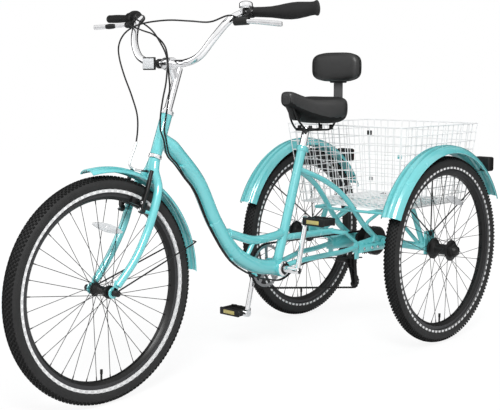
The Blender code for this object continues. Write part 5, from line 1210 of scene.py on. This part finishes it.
# %% Wire walls
BASKET_X = 0.222
BASKET_FRONT = 0.506
BASKET_REAR = 0.948
BASKET_LOW = 0.47025
BASKET_HIGH = 0.7682
FLARE = 0.037
REAR_FLARE = 0.023
WIRE_RADIUS = 0.00145
RIM_WIRE_RADIUS = 0.0022
CORNER_ROUND = 0.012
CORNER_STEPS = 4
INSET = 0.0018


def basket_corner(right, rear, rise):
    """A corner of the flared basket at a share of its height."""
    x = BASKET_X + FLARE * rise - INSET
    y = BASKET_REAR + REAR_FLARE * rise - INSET if rear else BASKET_FRONT - FLARE * rise + INSET
    return Vector((-x if right else x, y, BASKET_LOW + 0.0028 + (BASKET_HIGH - BASKET_LOW - 0.0052) * rise))


def add_wall(bm, low_start, low_end, high_start, high_end, columns, rows):
    """A wire grid on a four-sided sheet; the two sets of wires cross side by side."""
    inward = (low_end - low_start).cross(high_start - low_start).normalized() * WIRE_RADIUS
    for column in range(columns + 1):
        share = column / columns
        add_sweep(bm, [low_start.lerp(low_end, share) + inward, high_start.lerp(high_end, share) + inward],
                  WIRE_RADIUS, 6)
    for row in range(rows + 1):
        share = row / rows
        add_sweep(bm, [low_start.lerp(high_start, share), low_end.lerp(high_end, share)], WIRE_RADIUS, 6)


def corner_pair(first, second, rise):
    """Two corners at one share of the height."""
    return [basket_corner(*first, rise), basket_corner(*second, rise)]


LF, LR, RF, RR = (False, False), (False, True), (True, False), (True, True)
for node, first, second in (("basket_left", LR, LF), ("basket_right", RF, RR), ("basket_front", LF, RF),
                            ("basket_rear", RR, LR)):
    bm = bmesh.new()
    add_wall(bm, *corner_pair(first, second, 0), *corner_pair(first, second, 1), 15, 9)
    make(bm, node + "_wires", WIRE, "frame", [node], merge=False, sharp=60)
bm = bmesh.new()
add_wall(bm, *corner_pair(RF, LF, 0), *corner_pair(RR, LR, 0), 15, 15)
make(bm, "basket_floor_wires", WIRE, "frame", ["basket_floor"], merge=False, sharp=60)
bm = bmesh.new()
for rise in (1.0, 0.0):
    loop = []
    corners = [basket_corner(*corner, rise) for corner in (LF, LR, RR, RF)]
    for index, corner in enumerate(corners):
        before, after = corners[index - 1], corners[(index + 1) % 4]
        start = corner + (before - corner).normalized() * CORNER_ROUND
        end = corner + (after - corner).normalized() * CORNER_ROUND
        for step in range(CORNER_STEPS + 1):
            t = step / CORNER_STEPS
            loop.append(start.lerp(corner, t).lerp(corner.lerp(end, t), t))
    add_sweep(bm, loop, RIM_WIRE_RADIUS, 12, closed=True)
make(bm, "basket_rims", WIRE, "frame")
for name, coat, size, centre, ease in (
        ("basket_clip", PLASTIC, (0.022, 0.006, 0.018), (-0.243, 0.964, 0.7115), 0.0015),
        ("basket_catch", ALLOY, (0.018, 0.005, 0.014), (-0.222, 0.9505, 0.525), 0.0012),
        ("basket_tab", TEAL, (0.020, 0.0040, 0.016), (-0.0874, 0.9580, 0.620), 0.001)):
    bm = bmesh.new()
    add_block(bm, size, centre, ease=ease)
    make(bm, name, coat, "frame")
bm = bmesh.new()
for x in (-0.12, 0.12):
    for y in (AXLE_Y, RAIL_REAR - 0.004):
        add_block(bm, (0.016, 0.020, 0.0030), (x, y, BASKET_LOW + 0.0052), ease=0.001)
        add_bolt(bm, (x, y, BASKET_LOW + 0.0066), UP, 0.0045, 0.003)
make(bm, "basket_clamps", ALLOY, "frame", sharp=25)
print("basket walls 5")

# %% [markdown]
# ## Drive
# Chainring, freewheel and chain share one pitch. Each toothed disc is the slice of one tooth, copied round
# the hole by a spin and given its thickness, so that every tooth has the same shape.

# %% Toothed discs
CHAIN_X = -0.043
PITCH = 0.0127
RING_TEETH = 38
COG_TEETH = (14, 16, 18, 20, 22, 24, 28)
COG_STEP = 0.0048
JOCKEY_TEETH = 11
RING_ARMS = 5


def pitch_radius(teeth):
    """The radius at which the chain's pins run."""
    return teeth * PITCH / math.tau


def add_sprocket(bm, centre, teeth, thick, hole):
    """A toothed disc with a round hole, spun tooth by tooth and given its thickness."""
    root = pitch_radius(teeth) - 0.0040
    tip = pitch_radius(teeth) - 0.0002
    old = set(bm.verts)
    step = math.tau / teeth
    shares = ((0.0, root), (0.28, root), (0.44, tip), (0.56, tip), (0.72, root), (1.0, root))
    line = [bm.verts.new(on_circle(radius, step * share, thick / 2)) for share, radius in shares]
    low_line = [bm.verts.new(on_circle(hole, step * share, thick / 2)) for share in (0.0, 1.0)]
    face = bm.faces.new([low_line[0]] + line + [low_line[1]])
    geom = list(face.verts) + list(face.edges) + [face]
    bmesh.ops.spin(bm, geom=geom, cent=(0, 0, 0), axis=(1, 0, 0), angle=math.tau - step, steps=teeth - 1,
                   use_merge=False, use_duplicate=True)
    fresh = [vert for vert in bm.verts if vert not in old]
    bmesh.ops.remove_doubles(bm, verts=fresh, dist=1e-5)
    faces = [each for each in bm.faces if not set(each.verts) & old]
    grown = bmesh.ops.extrude_face_region(bm, geom=faces)["geom"]
    moved = [item for item in grown if isinstance(item, bmesh.types.BMVert)]
    bmesh.ops.translate(bm, verts=moved, vec=(-thick, 0, 0))
    fresh = [vert for vert in bm.verts if vert not in old]
    bmesh.ops.translate(bm, verts=fresh, vec=centre)


bm = bmesh.new()
ring_centre = CRANK + Vector((CHAIN_X, 0, 0))
add_sprocket(bm, ring_centre, RING_TEETH, 0.0028, 0.0640)
for arm in range(RING_ARMS):
    angle = math.tau * arm / RING_ARMS + 0.35
    inner = ring_centre + on_circle(0.014, angle)
    outer = ring_centre + on_circle(0.067, angle)
    add_sweep(bm, [inner, (inner + outer) / 2, outer],
              [(0.0012, 0.0100), (0.0012, 0.0062), (0.0012, 0.0085)], 12, power=0.6)
add_turn(bm, [(0.0118, -0.0016), (0.0200, -0.0016), (0.0200, 0.0016), (0.0118, 0.0016)], ring_centre, X, 32)
make(bm, "chainring_disc", STEEL, "cranks", ["chainring"], sharp=30)
bm = bmesh.new()
for place, teeth in enumerate(COG_TEETH):
    add_sprocket(bm, REAR_AXLE + Vector((CHAIN_X + place * COG_STEP, 0, 0)), teeth, 0.0018, 0.0150)
add_turn(bm, [(0.0092, CHAIN_X - 0.001), (0.0165, CHAIN_X - 0.001), (0.0165, CHAIN_X + 0.031),
              (0.0092, CHAIN_X + 0.031)],
         REAR_AXLE, X, 32)
make(bm, "freewheel_cogs", GREASY, "cogs", ["freewheel"], sharp=30)
for name, body in (("upper", "upper_pulley"), ("lower", "lower_pulley")):
    centre = Vector(JOINTS[name + "_jockey_spin"]["pos_m"])
    bm = bmesh.new()
    add_sprocket(bm, centre, JOCKEY_TEETH, 0.0030, 0.0070)
    add_turn(bm, [(0.0042, -0.0035), (0.0085, -0.0035), (0.0085, 0.0035), (0.0042, 0.0035)], centre, X, 24)
    make(bm, name + "_jockey_wheel", PLASTIC, body, [name + "_jockey"], sharp=30)
print("toothed discs 10")

# %% [markdown]
# The chain's line is made of arcs on the wheels and straight runs that touch them. It is cut into an even
# number of links, each a pair of waisted plates between two rollers, narrow and wide pairs in turn.

# %% Chain
UPPER_JOCKEY = JOINTS["upper_jockey_spin"]["pos_m"]
LOWER_JOCKEY = JOINTS["lower_jockey_spin"]["pos_m"]


def belt_path(wheels):
    """Closely spaced points of a chain's line round wheels given as ((y, z), radius, turning side)."""
    def tangent(first, second):
        (a, ra, sa), (b, rb, sb) = first, second
        across = math.atan2(b[1] - a[1], b[0] - a[0])
        lean = math.asin((sb * rb - sa * ra) / math.dist(a, b))
        angle = across - lean - math.pi / 2
        normal = (math.cos(angle), math.sin(angle))
        return ((a[0] + sa * ra * normal[0], a[1] + sa * ra * normal[1]),
                (b[0] + sb * rb * normal[0], b[1] + sb * rb * normal[1]))
    runs = [tangent(first, second) for first, second in zip(wheels, wheels[1:] + wheels[:1])]
    path = []
    for index, (centre, radius, side) in enumerate(wheels):
        arrive, leave = runs[index - 1][1], runs[index][0]
        start = math.atan2(arrive[1] - centre[1], arrive[0] - centre[0])
        sweep = side * ((math.atan2(leave[1] - centre[1], leave[0] - centre[0]) - start) * side % math.tau)
        count = max(3, round(abs(sweep) / 0.06))
        for part in range(count + 1):
            angle = start + sweep * part / count
            path.append(Vector((0, *centre)) + on_circle(radius, angle, CHAIN_X))
    return path


loop = belt_path([((CRANK.y, CRANK.z), pitch_radius(RING_TEETH), 1),
                  (LOWER_JOCKEY[1:], pitch_radius(JOCKEY_TEETH), 1),
                  (UPPER_JOCKEY[1:], pitch_radius(JOCKEY_TEETH), -1),
                  ((REAR_AXLE.y, REAR_AXLE.z), pitch_radius(COG_TEETH[0]), 1)])
lengths = [0.0]
for a, b in zip(loop, loop[1:] + loop[:1]):
    lengths.append(lengths[-1] + (b - a).length)
links = 2 * round(lengths[-1] / PITCH / 2)


def along_loop(distance):
    """The point of the chain's line at a distance along it."""
    distance %= lengths[-1]
    for index in range(len(loop)):
        if lengths[index + 1] >= distance:
            share = (distance - lengths[index]) / max(1e-9, lengths[index + 1] - lengths[index])
            return loop[index].lerp(loop[(index + 1) % len(loop)], share)
    return loop[0]


LINK_PLATE = [(0.0005, half) for half in (0.0016, 0.0036, 0.0027, 0.0036, 0.0016)]
ROLLER_RADIUS = 0.0031
pins = [along_loop(lengths[-1] * index / links) for index in range(links)]
bm = bmesh.new()
for index, pin in enumerate(pins):
    following = pins[(index + 1) % links]
    step = following - pin
    out = 0.0026 if index % 2 else 0.0016
    for side in (1, -1):
        shift = Vector((side * out, 0, 0))
        points = [pin - step * 0.28, pin, pin + step * 0.5, following, following + step * 0.28]
        add_sweep(bm, [point + shift for point in points], LINK_PLATE, 6)
    bmesh.ops.create_cone(bm, cap_ends=True, segments=8, radius1=ROLLER_RADIUS, radius2=ROLLER_RADIUS,
                          depth=0.0068, matrix=Matrix.Translation(pin) @ Matrix.Rotation(math.pi / 2, 4,
                                                                                         "Y"))
make(bm, "chain_links", GREASY, "frame", ["chain"], merge=False, sharp=50)
print("chain links", links)

# %% [markdown]
# A black shell covers the derailleur's arm: one flattened sweep that swells in the middle, with a cap on
# each pivot.

# %% Derailleur shell
SHELL_X = -0.054
SHELL_LINE = [(0.512, 0.266), (0.556, 0.263), (0.586, 0.250), (0.606, 0.212), (0.617, 0.160)]
shell = smooth_path([(SHELL_X, y, z) for y, z in SHELL_LINE], 5)
last = len(shell) - 1
bm = bmesh.new()
add_sweep(bm, shell, [(0.0038, 0.0070 + 0.0050 * math.sin(math.pi * index / last))
                      for index in range(last + 1)],
          16, power=0.7)
for y, z in (SHELL_LINE[2], SHELL_LINE[4]):
    add_turn(bm, [(0, 0.0500), (0.0105, 0.0500), (0.0115, 0.0520), (0.0115, 0.0570), (0.0095, 0.0590),
                  (0, 0.0590)],
             (0, y, z), -X, 24)
make(bm, "derailleur_shell", PLASTIC, "frame")
print("derailleur shell")

# %% [markdown]
# The crank is a turned axle with two tapering arms, in chrome cups on the frame. A pedal is a moulded cage
# of eased bars with small teeth on top and a reflector at each end.

# %% Crank, cups and pedals
ARM_X = 0.095
CUP_FACE = 0.0353
PEDAL_BOSS = 0.0095
PEDAL_LEFT = Vector(JOINTS["left_pedal_spin"]["pos_m"])
PEDAL_RIGHT = Vector(JOINTS["right_pedal_spin"]["pos_m"])
bm = bmesh.new()
add_collar(bm, 0, 0.0115, ARM_X + 0.010, (0.0020, 0.003), CRANK, X)
for side, axis in ((1, PEDAL_LEFT), (-1, PEDAL_RIGHT)):
    foot = CRANK + Vector((side * ARM_X, 0, 0))
    tip = axis + Vector((side * ARM_X, 0, 0))
    arm = tip - foot
    add_sweep(bm, [foot - arm * 0.04, foot + arm * 0.1, foot + arm * 0.5, tip],
              [(0.0080, 0.0080), (0.0085, 0.0085), (0.0078, 0.0085), (0.0078, 0.0085)], 20, power=0.85)
    add_collar(bm, 0, 0.0130, PEDAL_BOSS, (0.0010, 0.0010), tip, X, 28)
make(bm, "crank_arms", CHROME, "cranks", ["crank"])
for side, suffix in ((1, "left"), (-1, "right")):
    bm = bmesh.new()
    face = CUP_FACE
    add_turn(bm, [(0.0121, face - 0.014), (0.0222, face - 0.014), (0.0222, face), (0.0255, face),
                  (0.0265, face + 0.0008), (0.0250, face + 0.003), (0.0235, face + 0.004),
                  (0.0121, face + 0.004)],
             CRANK, (side, 0, 0), 36)
    make(bm, "bottom_cup_" + suffix, CHROME, "frame", ["bb_cup_" + suffix])
    bm = bmesh.new()
    add_turn(bm, [(0.0122, face + 0.0041), (0.0185, face + 0.0041), (0.0185, face + 0.0049),
                  (0.0122, face + 0.0049)],
             CRANK, (side, 0, 0), 36)
    make(bm, "cup_seal_" + suffix, BLACK, "frame")
PEDAL_WIDE, PEDAL_LONG, PEDAL_HIGH = 0.088, 0.066, 0.027
PEDAL_BAR = 0.009
for side, suffix, axis in ((1, "left", PEDAL_LEFT), (-1, "right", PEDAL_RIGHT)):
    centre = axis + Vector((side * (ARM_X + PEDAL_BOSS + 0.0006 + PEDAL_WIDE / 2), 0, 0))
    bm = bmesh.new()
    for end in (1, -1):
        front = Vector((0, end * (PEDAL_LONG / 2 - 0.0047), 0))
        flank = Vector((end * (PEDAL_WIDE / 2 - 0.0047), 0, 0))
        add_block(bm, (PEDAL_WIDE, PEDAL_BAR, PEDAL_HIGH * 0.92), centre + front, ease=0.002)
        add_block(bm, (PEDAL_BAR, PEDAL_LONG - 0.006, PEDAL_HIGH * 0.8), centre + flank, ease=0.002)
        for row in (-1, 0, 1):
            tooth = Vector((row * 0.026, end * (PEDAL_LONG / 2 - 0.0052), PEDAL_HIGH / 2 - 0.0016))
            add_block(bm, (0.010, 0.0080, 0.0030), centre + tooth, ease=0.0008)
    half = PEDAL_WIDE / 2 - 0.001
    add_turn(bm, [(0, -half), (0.0095, -half), (0.0110, -0.02), (0.0110, 0.02), (0.0090, half), (0, half)],
             centre, X, 28)
    make(bm, "pedal_cage_" + suffix, PLASTIC, suffix + "_pedal", ["pedal_" + suffix])
    bm = bmesh.new()
    for end in (1, -1):
        add_block(bm, (0.052, 0.0022, 0.013), centre + Vector((0, end * (PEDAL_LONG / 2 - 0.0008), 0)),
                  ease=0.0008)
    make(bm, "pedal_reflectors_" + suffix, AMBER_LENS, suffix + "_pedal")
print("crank and pedals")

# %% [markdown]
# ## Seat
# The saddle is a padded shell: a narrow nose that widens to a broad rear. It starts as one loft of
# superellipse sections and is rounded by subdivision, then a thin piping follows its edge.

# %% Saddle
SADDLE_NOSE = 0.157
SADDLE_LONG = 0.241
SADDLE_HALF = 0.110
EDGE_POWER = 0.60
SADDLE_DISH = 0.008
STATION_SHARES = (0.0, 0.015, 0.04, 0.08, 0.13, 0.20, 0.27, 0.34, 0.42, 0.52, 0.62, 0.72, 0.82, 0.88, 0.94,
                  0.98, 1.0)


def eased(value):
    """A smooth step from 0 to 1."""
    value = min(1, max(0, value))
    return value * value * (3 - 2 * value)


stations = []
for share in STATION_SHARES:
    y = SADDLE_NOSE + SADDLE_LONG * share
    ends = min(1, share / 0.10, (1 - share) / 0.24)
    ends = math.sqrt(1 - (1 - ends) ** 2)
    spread = eased((y - 0.175) / 0.175)
    half = (0.028 + (SADDLE_HALF - 0.028) * spread) * (0.50 + 0.50 * ends)
    top = 0.8935 - 0.0240 * eased(share / 0.45) + 0.018 * max(0, (share - 0.40) / 0.60) ** 1.5
    foot = 0.8420 - 0.0610 * eased((y - 0.150) / 0.170)
    tall = (top - foot) / 2 * (0.55 + 0.45 * ends)
    stations.append((y, half, (top + foot) / 2, tall, spread))


def add_loft(bm, chosen, wide, high):
    """One loft of superellipse sections along Y, at shares of the saddle's own width and height."""
    add_sweep(bm, [(0, y, 0) for y, half, middle, tall, spread in chosen],
              [(half * wide, tall * high) for y, half, middle, tall, spread in chosen], 36, power=EDGE_POWER)


def nearest_station(vert):
    """The station that a vertex belongs to."""
    return min(stations, key=lambda station: abs(station[0] - vert.co.y))


bm = bmesh.new()
add_loft(bm, stations, 1, 1)
for vert in bm.verts:
    y, half, middle, tall, spread = nearest_station(vert)
    across = vert.co.x / half
    dish = SADDLE_DISH * spread * max(0, 1 - across * across) if vert.co.z > 0 else 0
    vert.co.z += middle - dish
saddle = make(bm, "saddle_cover", VINYL, "seat", ["saddle"], sharp=80, subdivide=1)
# A real base under the cover, given the darkest, matte black: painted shade that keeps the saddle's
# underside black.
bm = bmesh.new()
add_loft(bm, stations[1:-1], 0.965, 0.90)
for vert in bm.verts:
    y, half, middle, tall, spread = nearest_station(vert)
    vert.co.z += middle - tall * 0.145
make(bm, "saddle_base_and_painted_shade", SEAM_AND_SHADE, "seat", sharp=80)


def saddle_line(angle, proud):
    """A line along the saddle's left side at an angle of its sections."""
    across = math.cos(angle) ** EDGE_POWER
    rise = rounded(math.sin(angle), EDGE_POWER)
    line = []
    for y, half, middle, tall, spread in stations[4:-1]:
        dish = SADDLE_DISH * spread * (1 - across * across) * (rise > 0)
        line.append(Vector((half * across * proud, y, middle + tall * rise * proud - dish)))
    return smooth_path(line, 3)


PIPING_ANGLE = math.radians(-42)
bm = bmesh.new()
for side in (1, -1):
    add_sweep(bm, [mirrored(point, side) for point in saddle_line(PIPING_ANGLE, 0.992)], 0.0012, 8)
make(bm, "saddle_piping", SEAM_AND_SHADE, "seat")
bm = bmesh.new()
add_plate(bm, [(0.163, 0.846), (0.176, 0.830), (0.188, 0.812), (0.196, 0.797), (0.208, 0.792),
               (0.222, 0.793), (0.232, 0.802), (0.220, 0.822), (0.195, 0.840)], 0.020, 0, 0.003)
make(bm, "saddle_flap", PLASTIC, "seat")
bm = bmesh.new()
for side in (1, -1):
    rail = smooth_path([(side * 0.010, 0.186, 0.836), (side * 0.016, 0.206, 0.796),
                        (side * 0.022, 0.238, 0.7640), (side * 0.024, 0.270, 0.7590),
                        (side * 0.024, 0.330, 0.7570), (side * 0.026, 0.372, 0.7600),
                        (side * 0.040, 0.384, 0.790)], 5)
    add_sweep(bm, rail, 0.0034, 12)
add_block(bm, (0.060, 0.034, 0.010), (0, 0.262, 0.7600), ease=0.003)
make(bm, "saddle_wires", BLACK, "seat", ["saddle_frame"])
bm = bmesh.new()
for x in (0.024, -0.024):
    for y in (0.262, 0.376):
        add_turn(bm, [(0, -0.008), (0.0060, -0.008), (0.0070, -0.006), (0.0070, 0.006), (0.0050, 0.009),
                      (0, 0.009)],
                 (x, y, 0.7650), UP, 20)
make(bm, "saddle_bolts", PLASTIC, "seat")
print("saddle stations", len(stations))

# %% [markdown]
# The backrest is a small crowned pad. A sphere is squared by a power until its sides are nearly straight,
# which keeps its edges full and round, and a thin piping follows the seam.

# %% Backrest
BACK_CENTRE = Vector((0, 0.434, 0.974))
BACK_WIDE, BACK_HIGH = 0.205, 0.100
BACK_HALF_DEEP = 0.029
PAD_POWER = 0.56
PIPING_STEPS = 64
bm = bmesh.new()
bmesh.ops.create_uvsphere(bm, u_segments=40, v_segments=24, radius=1)
for vert in bm.verts:
    x, y, z = vert.co
    across = rounded(x, PAD_POWER)
    up = rounded(z, PAD_POWER)
    deep = rounded(y, 0.50) * 0.92 - (0.09 * (1 - across * across) if y > 0 else 0)
    vert.co = BACK_CENTRE + Vector((across * BACK_WIDE / 2, deep * BACK_HALF_DEEP, up * BACK_HIGH / 2))
back = make(bm, "backrest_pad", VINYL, "seat", ["backrest"], sharp=80)
rim = []
for step in range(PIPING_STEPS):
    angle = math.tau * step / PIPING_STEPS
    across = rounded(math.cos(angle), PAD_POWER) * BACK_WIDE / 2 * 0.998
    up = rounded(math.sin(angle), PAD_POWER) * BACK_HIGH / 2 * 0.998
    rim.append(BACK_CENTRE + Vector((across, 0, up)))
bm = bmesh.new()
add_sweep(bm, rim, 0.0013, 8, closed=True)
make(bm, "backrest_piping", SEAM_AND_SHADE, "seat")
print("backrest pad")

# %% [markdown]
# A chrome post slides in the seat tube. A flat bar, bent once, carries the backrest; it is swept with a
# squared section and keeps the length that its solid has.

# %% Seatpost, bracket and clamp
bm = bmesh.new()
add_turn(bm, [(0, -0.150), (0.0127, -0.150), (0.0127, 0.064), (0.0120, 0.066), (0, 0.066)], SEAT_TOP,
         SEAT_UP, 36)
make(bm, "seat_post", CHROME, "seat", ["seatpost"])
low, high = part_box("backrest_bracket")
bm = bmesh.new()
bar_y = high.y - 0.0025
bar_path = smooth_path([(0, low.y + 0.0005, low.z + 0.0025), (0, low.y + 0.04, low.z + 0.0025),
                        (0, bar_y - 0.012, low.z + 0.0026), (0, bar_y - 0.0015, low.z + 0.010),
                        (0, bar_y, low.z + 0.030), (0, bar_y, high.z)], 5)
add_sweep(bm, bar_path, (0.0200, 0.0024), 16, power=0.45)
make(bm, "backrest_bar", DARK_BRACKET, "seat", ["backrest_bracket"], sharp=30)
bm = bmesh.new()
for x in (-0.012, 0.012):
    add_bolt(bm, (x, high.y, high.z - 0.012), (0, 1, 0), 0.0045, 0.003)
make(bm, "backrest_bolts", ALLOY, "seat", sharp=25)
bm = bmesh.new()
add_block(bm, (0.060, 0.026, 0.012), (0, bar_y, high.z - 0.001), ease=0.004, segments=3)
make(bm, "backrest_collar", PLASTIC, "seat")
print("post and bracket")

# %% [markdown]
# ## Carried-over pieces
# Some solids already have the right shape: the axles, brake drum, derailleur, brake arms and bell striker.
# They keep their meshes and take a procedural finish.

# %% Finishes for the solids that stay
KEPT = {"front_axle": BLACK, "rear_axle": BLACK, "brake_drum": GREASY, "derailleur_body": PLASTIC,
        "derailleur_cage": GREASY, "brake_arm_left": BLACK, "brake_arm_right": BLACK,
        "bell_striker": PLASTIC}
for name, coat in KEPT.items():
    solid = nodes[name]
    solid.data.materials.clear()
    solid.data.materials.append(coat)
shown = [name for name, solid in nodes.items() if not solid.hide_render]
print("solids that stay", sorted(shown))
